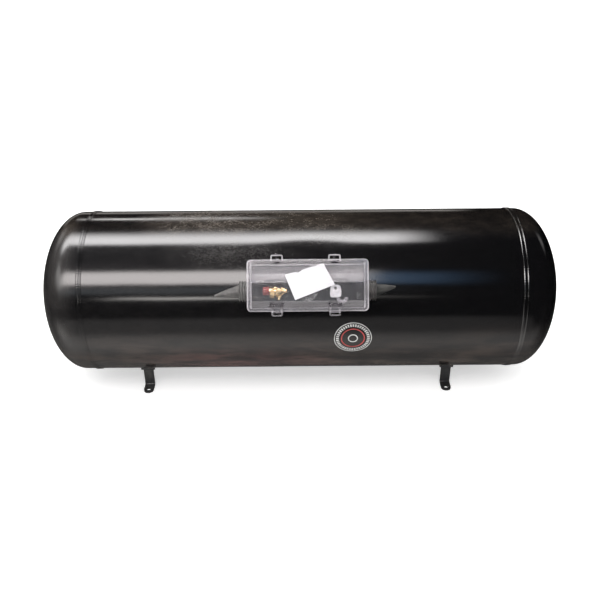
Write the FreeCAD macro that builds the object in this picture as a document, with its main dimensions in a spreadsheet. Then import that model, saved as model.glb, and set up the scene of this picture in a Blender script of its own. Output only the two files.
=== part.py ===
import FreeCAD, Part
import math
import os
import re
import Sketcher

# Horizontal pressure tank on four bent feet, with a clear valve box on its front.
#
# Frame: +X runs along the tank, the front faces -Y, +Z is up, millimetres.
# The origin is on the floor, in the middle of the four foot holes.
# The valve box is drawn in its own frame, whose origin is on the tank's axis: X runs along
# the tank, Y runs up round the shell and Z points out of the shell through the lid.

Vector = FreeCAD.Vector
Rotation = FreeCAD.Rotation
Placement = FreeCAD.Placement

X_AXIS = Vector(1, 0, 0)
Y_AXIS = Vector(0, 1, 0)
Z_AXIS = Vector(0, 0, 1)

DIMENSIONS = [
    # vessel
    ("shell_radius", 160, "outer radius of the rolled shell"),
    ("plate_thick", 3, "steel thickness of shell and heads"),
    ("axis_height", 190, "height of the tank's axis over the floor"),
    ("tank_mid", 7, "middle of the tank, right of the middle of the feet"),
    ("straight_half", 430, "half the straight length between the heads' tangent lines"),
    ("head_depth", 80, "outer depth of each dished head"),
    ("seam_left", 408, "left girth weld, left of the tank's middle"),
    ("seam_right", 417, "right girth weld, right of the tank's middle"),
    ("bead_width", 12, "width of a weld bead"),
    ("bead_rise", 2, "height of a weld bead over the plate"),
    ("long_seam_angle", 35, "long seam, degrees below level on the rear"),
    # feet
    ("foot_spread", 308, "foot holes, left and right of the middle"),
    ("foot_hole_out", 89, "foot holes, in front of and behind the middle"),
    ("foot_wide", 20, "width of the foot's flat bar"),
    ("foot_thick", 4, "thickness of the foot's flat bar"),
    ("leg_out", 72, "outer face of a leg from the middle plane"),
    ("foot_hole", 9, "diameter of the foot's bolt hole"),
    ("foot_bend", 3, "inner radius of the foot's bend"),
    ("foot_weld", 7, "radius of the weld round the leg's top"),
    ("foot_weld_long", 27, "length of the weld round the leg's top"),
    ("sliver", 0.01, "flat left between two full rounds"),
    # valve box
    ("box_shift", 14, "middle of the box, right of the tank's middle"),
    ("box_angle", 30.3, "direction that the box faces, degrees above level"),
    ("box_long", 210, "outer length of the box's walls"),
    ("box_wide", 87, "outer width of the box's walls"),
    ("rim_long", 217, "outer length of the rim"),
    ("rim_wide", 93, "outer width of the rim"),
    ("rim_round", 8, "corner radius of the rim"),
    ("wall", 2.5, "thickness of the box's walls, rim and lid"),
    ("wall_round", 5, "corner radius of the box's walls"),
    ("blank_sink", 20, "how far the box's blanks reach inside the shell's radius"),
    ("rim_up", 205, "parting plane of lid and box, from the tank's axis"),
    ("lid_gap", 0.5, "gap between lid and box at the rim"),
    ("saddle_gap", 0.2, "gap between the box's floor and the shell"),
    # lid
    ("roof_up", 225, "flat top of the lid, from the tank's axis"),
    ("roof_long", 200, "outer length of the raised roof"),
    ("roof_foot_high", 39, "upper edge of the roof where it meets the rim"),
    ("roof_foot_low", 41.5, "lower edge of the roof where it meets the rim"),
    ("crease_high", 6.7, "crease between the upper slope and the flat top"),
    ("crease_low", 28.4, "crease between the flat top and the lower slope"),
    ("room_below", 1, "how far the lid's room is cut below the parting plane"),
    ("foot_high_in", 4, "lid's room: upper foot, in from the outside"),
    ("crease_high_in", 0.75, "lid's room: upper crease, in from the outside"),
    ("crease_low_in", 1.25, "lid's room: lower crease, in from the outside"),
    ("foot_low_in", 3, "lid's room: lower foot, in from the outside"),
    # hinges and latches
    ("clip_left", 55, "left hinge and latch, left of the box's middle"),
    ("clip_right", 48, "right hinge and latch, right of the box's middle"),
    ("clip_wide", 22, "width of hinge loops and latches"),
    ("clip_arm", 3, "width of a loop's arm"),
    ("clip_play", 0.8, "play beside a latch, each side"),
    ("loop_collar", 0.6, "what a loop's eye stands out over its bar"),
    ("arm_root", 1, "how far a loop's arm reaches in over the rim"),
    ("hinge_out", 53.8, "hinge axis from the box's middle plane"),
    ("hinge_up", 203, "hinge axis from the tank's axis"),
    ("hinge_bar", 3.4, "diameter of the hinge bar"),
    ("knuckle", 8, "outer diameter of the knuckle round the hinge bar"),
    ("knuckle_bore", 4, "bore of the knuckle"),
    ("knuckle_wide", 6, "width of the knuckle"),
    ("latch_out", 35, "latch pivot from the box's middle plane"),
    ("latch_up", 223, "latch pivot from the tank's axis"),
    ("latch_pin", 2.6, "diameter of the latch's pivot bar"),
    ("latch_eye", 6, "outer diameter of the latch's eye"),
    ("latch_eye_bore", 3.2, "bore of the latch's eye"),
    ("latch_thick", 2.4, "thickness of a latch"),
    ("latch_reach", 55, "outer end of a latch from the box's middle plane"),
    ("ear_thick", 2.5, "thickness of the ears beside a latch"),
    ("ear_in", 0.5, "inner face of an ear, inside a latch's width"),
    ("ear_foot", 5.5, "length of an ear's foot up the slope"),
    ("strip_gap", 0.6, "gap between a latch's strip and the rim"),
    ("strip_in", 0.8, "strip's inner corner at the pivot, out from it"),
    ("strip_drop", 2.4, "strip's inner corner at the pivot, below it"),
    ("strip_out", 2.9, "strip's outer corner at the pivot, out from it"),
    ("strip_top", 0.7, "strip's outer corner at the pivot, below it"),
    ("knee_in", 1.2, "strip's inner knee above the lid's rim"),
    ("knee_out", 2, "strip's outer knee above the lid's rim"),
    ("tail_drop", 7.5, "end of the strip below the parting plane"),
    ("finger_root", 1, "root of the finger loop below the parting plane"),
    ("finger_drop", 2.2, "underside of the finger loop's end below the parting plane"),
    ("finger_rim", 1.8, "width of the finger loop's outer bar"),
    # hose collars and plugs
    ("port_low", 9.3, "hose axis below the box's middle plane"),
    ("port_up", 182, "hose axis from the tank's axis"),
    ("collar_long", 18.5, "length of a hose collar"),
    ("collar_core", 33, "diameter between the collar's ribs"),
    ("collar_rib", 38, "diameter over the collar's ribs"),
    ("rib_thick", 2, "thickness of a rib"),
    ("rib_pitch", 4.6, "spacing of the ribs"),
    ("collar_bore", 25, "bore of the collar"),
    ("plug_base", 23.6, "diameter of a plug's cone at the collar"),
    ("plug_tip", 5, "diameter of a plug's tip"),
    ("plug_gap", 0.1, "gap between plug and collar"),
    ("plug_left_long", 46, "length of the left cone"),
    ("plug_left_rise", -8, "rise of the left cone's tip"),
    ("plug_right_long", 36, "length of the right cone"),
    ("plug_right_rise", 6, "rise of the right cone's tip"),
    # valves in the box
    ("pad_long", 176, "length of the welded valve plate"),
    ("pad_wide", 46, "width of the welded valve plate"),
    ("pad_up", 168, "top of the valve plate from the tank's axis"),
    ("pad_clear", 3, "clearance round the valve plate in the box's floor"),
    ("pad_sink", 12, "how far the plate's blank reaches inside the shell's radius"),
    ("filler_left", 57, "middle of the filler valve, left of the box's middle"),
    ("filler_hex", 25, "width over corners of the filler valve's body"),
    ("filler_long", 24, "length of the filler valve's body"),
    ("filler_stem", 15, "diameter of the filler valve's stem"),
    ("nozzle_wide", 7, "diameter of the filler valve's nozzle"),
    ("nozzle_long", 8, "length of the filler valve's nozzle"),
    ("cap_wide", 15, "diameter of the filler cap"),
    ("cap_long", 12, "length of the filler cap"),
    ("gauge_wide", 38, "diameter of the level gauge's flange"),
    ("gauge_neck", 24, "diameter of the level gauge's neck"),
    ("gauge_thick", 4, "thickness of the level gauge's flange"),
    ("gauge_tall", 14, "height of the level gauge's neck"),
    ("outlet_right", 50.4, "middle of the outlet valve, right of the box's middle"),
    ("outlet_wide", 21, "width of the outlet valve's block"),
    ("outlet_deep", 23, "depth of the outlet valve's block"),
    ("outlet_tall", 12, "height of the outlet valve's block"),
    ("outlet_drop", 1, "middle of the outlet's block below the hose axis"),
    ("outlet_up", 178, "underside of the outlet block from the tank's axis"),
    ("outlet_hole", 4.5, "hole in the outlet valve's block"),
    ("outlet_hole_low", 5, "hole in the outlet's block below the box's middle"),
    ("outlet_stem", 14, "diameter of the outlet valve's stem"),
    ("elbow_ring", 7.5, "radius of the vent elbow's bend"),
    ("elbow_right", 12.1, "middle of the vent elbow, right of the outlet's middle"),
    ("elbow_tube", 3.5, "radius of the vent elbow's tube"),
    ("leaflet_long", 72, "length of the folded leaflet"),
    ("leaflet_wide", 46, "width of the folded leaflet"),
    ("leaflet_thick", 0.8, "thickness of the folded leaflet"),
    ("leaflet_round", 0.6, "corner radius of the folded leaflet"),
    ("leaflet_right", 4.5, "middle of the leaflet, right of the box's middle"),
    ("leaflet_high", 7.3, "middle of the leaflet, above the box's middle"),
    ("leaflet_turn", 18, "turn of the leaflet in the box, degrees"),
    ("leaflet_up", 199, "underside of the leaflet from the tank's axis"),
]

ALIASES = {alias: "Sheet." + alias for alias, number, meaning in DIMENSIONS}

doc = FreeCAD.newDocument("HorizontalPressureTank")
sheet = doc.addObject("Spreadsheet::Sheet", "Sheet")
for row, (alias, number, meaning) in enumerate(DIMENSIONS, start=1):
    sheet.set("A%d" % row, meaning)
    sheet.set("B%d" % row, str(number))
    sheet.setAlias("B%d" % row, alias)
doc.recompute()

sub_parts = []


# ---------------------------------------------------------------- helpers

def cells(formula):
    """Writes every alias in a formula as a cell of the sheet."""
    return re.sub(r"[a-z_]{3,}", lambda word: ALIASES.get(word.group(), word.group()), formula)


def amount(formula):
    """The number that a formula gives with the sheet's present values."""
    return float(sheet.evalExpression(cells(str(formula))))


def bind(thing, **sizes):
    """Ties properties of an object to formulas of the sheet's cells."""
    for name, formula in sizes.items():
        thing.setExpression(name.replace("__", "."), cells(formula))
    return thing


def place(thing, x="0", y="0", z="0", turn=None):
    """Ties an object's position to the sheet, after an optional turn."""
    if turn is not None:
        thing.Placement = Placement(Vector(), turn)
    bind(thing, Placement__Base__x=x, Placement__Base__y=y, Placement__Base__z=z)
    return thing


def solid(kind, name, x="0", y="0", z="0", turn=None, **sizes):
    """A Part primitive, such as a Box or a Cylinder, tied to the sheet."""
    thing = doc.addObject("Part::" + kind, name)
    bind(thing, **sizes)
    return place(thing, x, y, z, turn)


def cut(name, base, tool):
    thing = doc.addObject("Part::Cut", name)
    thing.Base = base
    thing.Tool = tool
    return thing


def fuse(name, *pieces):
    thing = doc.addObject("Part::MultiFuse", name)
    thing.Shapes = list(pieces)
    thing.Refine = True
    return thing


def publish(thing, label):
    """Names an object as a sub-part, whose shape goes to a file of that name."""
    thing.Label = label
    sub_parts.append(thing)
    return thing


def in_box(thing, label, x="0", y="0", z="0", turn=Rotation()):
    """Puts a sub-part at a place given in the box's frame, and publishes it."""
    tilt = Rotation(X_AXIS, 90 - amount("box_angle"))
    thing.Placement = Placement(Vector(), tilt.multiply(turn))
    rise = "sin(box_angle * 1 deg)"
    run = "cos(box_angle * 1 deg)"
    place(thing, "tank_mid + box_shift + (%s)" % x,
          "(%s) * %s - (%s) * %s" % (y, rise, z, run),
          "axis_height + (%s) * %s + (%s) * %s" % (y, run, z, rise))
    return publish(thing, label)


def new_body(name):
    return doc.addObject("PartDesign::Body", name)


def origin_plane(body, role):
    for feature in body.Origin.OriginFeatures:
        if feature.Role == role:
            return feature
    raise ValueError(role)


def new_sketch(body, name, role, height=None):
    """A sketch on one of its body's origin planes, lifted by a formula."""
    sketch = body.newObject("Sketcher::SketchObject", name)
    sketch.AttachmentSupport = [(origin_plane(body, role), "")]
    sketch.MapMode = "FlatFace"
    if height is not None:
        bind(sketch, AttachmentOffset__Base__z=height)
    return sketch


def dimension(sketch, name, formula, *where):
    """Adds a named length to a sketch and ties it to the sheet."""
    index = sketch.addConstraint(Sketcher.Constraint(*where, amount(formula)))
    sketch.renameConstraint(index, name)
    sketch.setExpression("Constraints." + name, cells(formula))


def outline(sketch, points):
    """A closed outline of straight edges, each corner tied to formulas for its two places."""
    spots = [Vector(amount(x), amount(y), 0) for x, y in points]
    count = len(spots)
    for index, spot in enumerate(spots):
        sketch.addGeometry(Part.LineSegment(spot, spots[(index + 1) % count]), False)
    for index in range(count):
        following = (index + 1) % count
        sketch.addConstraint(Sketcher.Constraint("Coincident", index, 2, following, 1))
    for index, (x, y) in enumerate(points):
        dimension(sketch, "x%d" % index, x, "DistanceX", -1, 1, index, 1)
        dimension(sketch, "y%d" % index, y, "DistanceY", -1, 1, index, 1)


def rounded_rectangle(sketch, length, width, radius):
    """A rectangle with quarter-round corners, centred on the sketch's origin."""
    half_x = amount(length) / 2
    half_y = amount(width) / 2
    r = amount(radius)
    in_x = half_x - r
    in_y = half_y - r
    sides = [
        ((-in_x, half_y), (in_x, half_y)),
        ((half_x, in_y), (half_x, -in_y)),
        ((in_x, -half_y), (-in_x, -half_y)),
        ((-half_x, -in_y), (-half_x, in_y)),
    ]
    centres = [(in_x, in_y, 0), (in_x, -in_y, 270), (-in_x, -in_y, 180), (-in_x, in_y, 90)]
    for (x0, y0), (x1, y1) in sides:
        sketch.addGeometry(Part.LineSegment(Vector(x0, y0, 0), Vector(x1, y1, 0)), False)
    for x, y, start in centres:
        circle = Part.Circle(Vector(x, y, 0), Z_AXIS, r)
        arc = Part.ArcOfCircle(circle, math.radians(start), math.radians(start + 90))
        sketch.addGeometry(arc, False)
    for side in range(4):
        corner = 4 + side
        following = (side + 1) % 4
        sketch.addConstraint(Sketcher.Constraint("Tangent", side, 2, corner, 2))
        sketch.addConstraint(Sketcher.Constraint("Tangent", following, 1, corner, 1))
    for side in (0, 2):
        sketch.addConstraint(Sketcher.Constraint("Horizontal", side))
    for side in (1, 3):
        sketch.addConstraint(Sketcher.Constraint("Vertical", side))
    for corner in (5, 6, 7):
        sketch.addConstraint(Sketcher.Constraint("Equal", 4, corner))
    sketch.addConstraint(Sketcher.Constraint("Symmetric", 4, 3, 6, 3, -1, 1))
    dimension(sketch, "length", length, "DistanceX", 3, 1, 1, 1)
    dimension(sketch, "width", width, "DistanceY", 2, 1, 0, 2)
    dimension(sketch, "radius", radius, "Radius", 4)


def add_pad(body, name, sketch, length, symmetric=False):
    pad = body.newObject("PartDesign::Pad", name)
    pad.Profile = sketch
    bind(pad, Length=length)
    if symmetric:
        pad.SideType = "Symmetric"
    doc.recompute()
    return pad


def add_pocket(body, name, sketch, length, symmetric=False, backwards=False):
    """Cuts a sketch's outline out of a body, and makes sure that metal was taken away."""
    before = body.Shape.Volume
    pocket = body.newObject("PartDesign::Pocket", name)
    pocket.Profile = sketch
    bind(pocket, Length=length)
    pocket.Reversed = backwards
    if symmetric:
        pocket.SideType = "Symmetric"
    doc.recompute()
    if body.Shape.Volume >= before:
        raise ValueError("%s cuts nothing" % name)
    return pocket


TO_RIGHT = Rotation(Y_AXIS, 90)
TO_LEFT = Rotation(Y_AXIS, -90)


def tank_core(name, radius="shell_radius"):
    """The tank's outer cylinder as a cutting tool along X, round the local origin."""
    return solid("Cylinder", name, x="-straight_half", turn=TO_RIGHT,
                 Radius=radius, Height="2 * straight_half")


def tank_core_on_floor(name):
    """The same cutting tool at the tank's height over the floor."""
    tool = tank_core(name)
    return bind(tool, Placement__Base__z="axis_height")


# ---------------------------------------------------------------- vessel

def make_shell():
    outer = solid("Cylinder", "ShellOuter", Radius="shell_radius", Height="seam_left + seam_right")
    inner = solid("Cylinder", "ShellInner", Radius="shell_radius - plate_thick",
                  Height="seam_left + seam_right")
    shell = cut("Shell", outer, inner)
    place(shell, "tank_mid - seam_left", "0", "axis_height", TO_RIGHT)
    publish(shell, "shell")


def head_form(name, skirt, less):
    """A short straight skirt closed by half an ellipsoid, smaller all over by less."""
    tube = solid("Cylinder", name + "Skirt", Radius="shell_radius - %s" % less, Height=skirt)
    dome = solid("Ellipsoid", name + "Dome", z=skirt, Radius1="head_depth - %s" % less,
                 Radius2="shell_radius - %s" % less, Radius3="shell_radius - %s" % less)
    dome.Angle1 = 0
    dome.Angle2 = 90
    return fuse(name, tube, dome)


def make_head(side, seam, sign, turn):
    name = "Head" + side.capitalize()
    skirt = "straight_half - %s" % seam
    outer = head_form(name + "Outer", skirt, "0")
    inner = head_form(name + "Inner", skirt, "plate_thick")
    head = cut(name, outer, inner)
    place(head, "tank_mid %s %s" % (sign, seam), "0", "axis_height", turn)
    publish(head, "head_" + side)


# A bead is the part of a round rod that stands out of the plate: for a chord of bead_width
# and a height of bead_rise, the rod's radius is (half chord squared + rise squared) / 2 rises.
BEAD_RADIUS = "( bead_width * bead_width / 4 + bead_rise * bead_rise ) / ( 2 * bead_rise )"
BEAD_CENTRE = "shell_radius + bead_rise - " + BEAD_RADIUS


def make_girth_weld(side, seam, sign):
    name = "Weld" + side.capitalize()
    rod = solid("Torus", name + "Rod", Radius1=BEAD_CENTRE, Radius2=BEAD_RADIUS)
    core = solid("Cylinder", name + "Core", z="- bead_width", Radius="shell_radius",
                 Height="2 * bead_width")
    bead = cut(name, rod, core)
    place(bead, "tank_mid %s %s" % (sign, seam), "0", "axis_height", TO_RIGHT)
    publish(bead, "weld_girth_" + side)


def make_long_weld():
    rod = solid("Cylinder", "LongWeldRod", x="bead_width / 2 - seam_left", y=BEAD_CENTRE,
                turn=TO_RIGHT, Radius=BEAD_RADIUS, Height="seam_left + seam_right - bead_width")
    core = tank_core("LongWeldCore")
    bead = cut("LongWeld", rod, core)
    turn = Rotation(X_AXIS, -amount("long_seam_angle"))
    place(bead, "tank_mid", "0", "axis_height", turn)
    publish(bead, "weld_long_seam")


# ---------------------------------------------------------------- feet

FOOT_TIP = "foot_hole_out + foot_wide / 2"


def foot_blank(name):
    """The bent flat bar before its top is cut to the shell: leg up, tab out towards +Y."""
    body = new_body(name)
    side = new_sketch(body, name + "Side", "YZ_Plane")
    outline(side, [
        ("leg_out - foot_thick", "0"),
        (FOOT_TIP, "0"),
        (FOOT_TIP, "foot_thick"),
        ("leg_out", "foot_thick"),
        ("leg_out", "axis_height / 2"),
        ("leg_out - foot_thick", "axis_height / 2"),
    ])
    add_pad(body, name + "Bar", side, "foot_wide", symmetric=True)
    bend_outer = edge_along_x(body, "leg_out - foot_thick", "0")
    round_edges(body, name + "BendOuter", [bend_outer], "foot_bend + foot_thick")
    bend_inner = edge_along_x(body, "leg_out", "foot_thick")
    round_edges(body, name + "BendInner", [bend_inner], "foot_bend")
    round_edges(body, name + "TabEnd", tab_corners(body), "foot_wide / 2 - sliver")
    hole = new_sketch(body, name + "HoleSketch", "XY_Plane")
    hole.addGeometry(Part.Circle(Vector(0, amount("foot_hole_out"), 0), Z_AXIS,
                                 amount("foot_hole") / 2), False)
    hole.addConstraint(Sketcher.Constraint("PointOnObject", 0, 3, -2))
    dimension(hole, "out", "foot_hole_out", "DistanceY", -1, 1, 0, 3)
    dimension(hole, "radius", "foot_hole / 2", "Radius", 0)
    add_pocket(body, name + "Hole", hole, "foot_thick * 2", backwards=True)
    return body


def edges_where(body, test):
    return ["Edge%d" % (index + 1) for index, edge in enumerate(body.Shape.Edges) if test(edge)]


def edge_along_x(body, y, z):
    """The edge along X that passes through the given place."""
    spot_y = amount(y)
    spot_z = amount(z)

    def on_line(edge):
        ends = [vertex.Point for vertex in edge.Vertexes]
        return all(abs(end.y - spot_y) < 0.01 and abs(end.z - spot_z) < 0.01 for end in ends)

    return edges_where(body, on_line)[0]


def tab_corners(body):
    """The two short upright edges at the tab's outer end."""
    tip = amount(FOOT_TIP)

    def upright_at_tip(edge):
        ends = [vertex.Point for vertex in edge.Vertexes]
        at_tip = all(abs(end.y - tip) < 0.01 for end in ends)
        return at_tip and abs(ends[0].x - ends[-1].x) < 0.01

    return edges_where(body, upright_at_tip)


def round_edges(body, name, edges, radius):
    before = body.Tip
    rounding = body.newObject("PartDesign::Fillet", name)
    rounding.Base = (before, edges)
    bind(rounding, Radius=radius)
    doc.recompute()
    return rounding


def make_foot(label, sign, facing):
    name = "Foot" + label.title().replace("_", "")
    foot = cut(name, foot_blank(name + "Blank"), tank_core_on_floor(name + "Core"))
    place(foot, "%s foot_spread" % sign, "0", "0", facing)
    publish(foot, "foot_" + label)

    around = solid("Cylinder", name + "WeldRod", x="- foot_weld_long / 2",
                   y="leg_out - foot_thick / 2", turn=TO_RIGHT,
                   Radius="foot_weld", Height="foot_weld_long")
    height = "axis_height - sqrt(shell_radius * shell_radius - leg_out * leg_out )"
    bind(around, Placement__Base__z=height)
    bar = solid("Box", name + "WeldBar", x="- foot_wide / 2", y="leg_out - foot_thick",
                Length="foot_wide", Width="foot_thick", Height="axis_height / 2")
    open_ring = cut(name + "WeldRing", around, bar)
    weld = cut(name + "Weld", open_ring, tank_core_on_floor(name + "WeldCore"))
    place(weld, "%s foot_spread" % sign, "0", "0", facing)
    publish(weld, "foot_weld_" + label)


# ---------------------------------------------------------------- valve box

def plate_body(name, length, width, radius, bottom, height):
    """A slab with rounded corners in the box's frame."""
    body = new_body(name)
    sketch = new_sketch(body, name + "Outline", "XY_Plane", bottom)
    rounded_rectangle(sketch, length, width, radius)
    add_pad(body, name + "Slab", sketch, height)
    return body


def box_wall_lug(name, middle):
    """The knuckle that carries the hinge bar, and the tongue that joins it to the wall."""
    ring = solid("Cylinder", name + "Ring", x="%s - knuckle_wide / 2" % middle, y="hinge_out",
                 z="hinge_up", turn=TO_RIGHT, Radius="knuckle / 2", Height="knuckle_wide")
    tongue = solid("Box", name + "Tongue", x="%s - knuckle_wide / 2" % middle,
                   y="box_wide / 2 - wall / 2", z="hinge_up - knuckle / 2",
                   Length="knuckle_wide", Width="hinge_out - box_wide / 2 + wall / 2",
                   Height="wall")
    return fuse(name, ring, tongue)


def make_box_base():
    walls = plate_body("BoxWalls", "box_long", "box_wide", "wall_round",
                       "shell_radius - blank_sink",
                       "rim_up - lid_gap - shell_radius + blank_sink")
    rim = plate_body("BoxRim", "rim_long", "rim_wide", "rim_round", "rim_up - lid_gap - wall",
                     "wall")
    lugs = [box_wall_lug("KnuckleLeft", "- clip_left"), box_wall_lug("KnuckleRight", "clip_right")]
    block = fuse("BoxBlock", walls, rim, *lugs)
    block = cut("BoxSaddle", block, tank_core("BoxSaddleCore", "shell_radius + saddle_gap"))

    room = plate_body("BoxRoom", "box_long - 2 * wall", "box_wide - 2 * wall",
                      "wall_round - wall", "shell_radius - blank_sink",
                      "rim_up - shell_radius + blank_sink")
    room = cut("BoxRoomOverFloor", room, tank_core("BoxFloorCore", "shell_radius + wall"))
    block = cut("BoxTray", block, room)

    opening = plate_body("BoxFloorOpening", "pad_long + 2 * pad_clear", "pad_wide + 2 * pad_clear",
                         "pad_wide / 2", "shell_radius - blank_sink", "2 * blank_sink")
    place(opening, y="- port_low")
    ports = solid("Cylinder", "BoxPorts", x="- box_long", y="- port_low", z="port_up",
                  turn=TO_RIGHT, Radius="collar_bore / 2", Height="2 * box_long")
    bores = solid("Cylinder", "BoxKnuckleBores", x="- box_long / 2", y="hinge_out", z="hinge_up",
                  turn=TO_RIGHT, Radius="knuckle_bore / 2", Height="box_long")
    base = cut("BoxBase", block, fuse("BoxCuts", opening, ports, bores))
    in_box(base, "box_base")


def roof_outline(sketch, inside):
    """The roof's cross-section: long upper slope, flat top and short steep lower slope."""
    if inside:
        outline(sketch, [
            ("roof_foot_high - foot_high_in", "rim_up - room_below"),
            ("crease_high - crease_high_in", "roof_up - wall"),
            ("- crease_low + crease_low_in", "roof_up - wall"),
            ("- roof_foot_low + foot_low_in", "rim_up - room_below"),
        ])
    else:
        outline(sketch, [
            ("roof_foot_high", "rim_up"),
            ("crease_high", "roof_up"),
            ("- crease_low", "roof_up"),
            ("- roof_foot_low", "rim_up"),
        ])


def hinge_loop(name, middle):
    """A loop on the lid's upper edge: two arms and the round hinge bar that joins their ends."""
    bar = solid("Cylinder", name + "Bar", x="%s - clip_wide / 2" % middle, y="hinge_out",
                z="hinge_up", turn=TO_RIGHT, Radius="hinge_bar / 2", Height="clip_wide")
    pieces = [bar]
    for side, shift in (("A", "- clip_wide / 2"), ("B", "+ clip_wide / 2 - clip_arm")):
        start = "%s %s" % (middle, shift)
        eye = solid("Cylinder", name + "Eye" + side, x=start, y="hinge_out", z="hinge_up",
                    turn=TO_RIGHT, Radius="hinge_bar / 2 + loop_collar",
                    Height="clip_arm")
        arm = solid("Box", name + "Arm" + side, x=start, y="rim_wide / 2 - arm_root",
                    z="rim_up", Length="clip_arm", Width="hinge_out - rim_wide / 2 + arm_root",
                    Height="wall")
        web = solid("Box", name + "Web" + side, x=start, z="hinge_up",
                    y="hinge_out - hinge_bar / 2 - loop_collar", Length="clip_arm",
                    Width="hinge_bar + 2 * loop_collar", Height="rim_up - hinge_up + wall")
        pieces += [eye, arm, web]
    return fuse(name, *pieces)


def latch_ears(name, middle):
    """Two ears on the lid's lower slope, and the pivot bar between them."""
    bar = solid("Cylinder", name + "Bar", x="%s - clip_wide / 2 + ear_in" % middle,
                y="- latch_out", z="latch_up", turn=TO_RIGHT, Radius="latch_pin / 2",
                Height="clip_wide - 2 * ear_in")
    pieces = [bar]
    for side, shift in (("A", "- clip_wide / 2 + ear_in - ear_thick"),
                        ("B", "+ clip_wide / 2 - ear_in")):
        start = "%s %s" % (middle, shift)
        eye = solid("Cylinder", name + "Eye" + side, x=start, y="- latch_out", z="latch_up",
                    turn=TO_RIGHT, Radius="latch_eye / 2", Height="ear_thick")
        foot = solid("Box", name + "Foot" + side, x=start, y="- latch_out",
                     z="latch_up - latch_eye", Length="ear_thick", Width="ear_foot",
                     Height="latch_eye")
        pieces += [eye, foot]
    return fuse(name, *pieces)


def make_box_lid():
    rim = plate_body("LidRim", "rim_long", "rim_wide", "rim_round", "rim_up", "wall")
    roof = new_body("LidRoof")
    section = new_sketch(roof, "LidRoofSection", "YZ_Plane")
    roof_outline(section, inside=False)
    add_pad(roof, "LidRoofPad", section, "roof_long", symmetric=True)
    room = new_body("LidRoom")
    section = new_sketch(room, "LidRoomSection", "YZ_Plane")
    roof_outline(section, inside=True)
    add_pad(room, "LidRoomPad", section, "roof_long - 2 * wall", symmetric=True)
    pieces = [rim, roof]
    for side, middle in (("Left", "- clip_left"), ("Right", "clip_right")):
        pieces.append(hinge_loop("HingeLoop" + side, middle))
        pieces.append(latch_ears("LatchEars" + side, middle))
    lid = cut("BoxLid", fuse("LidBlock", *pieces), room)
    in_box(lid, "box_lid")


STRIP_INNER = "- rim_wide / 2 - strip_gap"
STRIP_OUTER = "- rim_wide / 2 - strip_gap - latch_thick"


def make_latch(side, middle):
    """A clip that turns on the lid's pivot bar, lies down the slope and ends in a finger loop."""
    name = "Latch" + side.capitalize()
    body = new_body(name + "Strip")
    section = new_sketch(body, name + "Section", "YZ_Plane")
    outline(section, [
        ("- latch_out - strip_in", "latch_up - strip_drop"),
        (STRIP_INNER, "rim_up + wall + knee_in"),
        (STRIP_INNER, "rim_up - tail_drop"),
        (STRIP_OUTER, "rim_up - tail_drop"),
        (STRIP_OUTER, "rim_up - finger_root"),
        ("- latch_reach", "rim_up - finger_drop"),
        ("- latch_reach", "rim_up - finger_drop + latch_thick"),
        (STRIP_OUTER, "rim_up + wall + knee_out"),
        ("- latch_out - strip_out", "latch_up - strip_top"),
    ])
    add_pad(body, name + "Pad", section, "clip_wide - 2 * clip_play", symmetric=True)
    finger = new_sketch(body, name + "Finger", "XY_Plane", "latch_up")
    outline(finger, [
        ("- clip_wide / 2 + clip_play + clip_arm", "- latch_reach + finger_rim"),
        ("clip_wide / 2 - clip_play - clip_arm", "- latch_reach + finger_rim"),
        ("clip_wide / 2 - clip_play - clip_arm", STRIP_OUTER),
        ("- clip_wide / 2 + clip_play + clip_arm", STRIP_OUTER),
    ])
    add_pocket(body, name + "FingerHole", finger, "2 * ( latch_up - rim_up )")
    eye = solid("Cylinder", name + "Eye", x="- clip_wide / 2 + clip_play", y="- latch_out",
                z="latch_up", turn=TO_RIGHT, Radius="latch_eye / 2",
                Height="clip_wide - 2 * clip_play")
    bore = solid("Cylinder", name + "Bore", x="- clip_wide / 2", y="- latch_out",
                 z="latch_up", turn=TO_RIGHT, Radius="latch_eye_bore / 2", Height="clip_wide")
    latch = cut(name, fuse(name + "Block", body, eye), bore)
    in_box(latch, "latch_" + side, x=middle)


# ---------------------------------------------------------------- hose collars and plugs

def make_collar(side, sign, turn):
    name = "Collar" + side.capitalize()
    core = solid("Cylinder", name + "Core", Radius="collar_core / 2", Height="collar_long")
    pieces = [core]
    for index in range(3):
        start = "collar_long - rib_thick - %d * rib_pitch" % index
        pieces.append(solid("Cylinder", name + "Rib%d" % index, z=start,
                            Radius="collar_rib / 2", Height="rib_thick"))
    bore = solid("Cylinder", name + "Bore", Radius="collar_bore / 2", Height="collar_long")
    collar = cut(name, fuse(name + "Block", *pieces), bore)
    at_port(collar, "hose_collar_" + side, sign, turn)


def at_port(thing, label, sign, turn):
    """Puts a piece drawn outwards along Z on the box's end wall, on the hose axis."""
    in_box(thing, label, sign + " box_long / 2", "- port_low", "port_up", turn)


def make_plug(side, sign, turn, rise):
    """A rubber plug: a round stub in the collar and a skew cone that ends in a small tip."""
    name = "Plug" + side.capitalize()
    stub = solid("Cylinder", name + "Stub", Radius="collar_bore / 2 - plug_gap",
                 Height="collar_long")
    rings = []
    for index, (along, radius, up) in enumerate((
            ("collar_long", "plug_base / 2", "0"),
            ("collar_long + plug_%s_long" % side, "plug_tip / 2", rise))):
        ring = solid("Circle", name + "Ring%d" % index, y=up, z=along, Radius=radius)
        rings.append(ring)
    cone = doc.addObject("Part::Loft", name + "Cone")
    cone.Sections = rings
    cone.Solid = True
    cone.Ruled = True
    plug = fuse(name, stub, cone)
    at_port(plug, "hose_plug_" + side, sign, turn)


# ---------------------------------------------------------------- valves in the box

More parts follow.
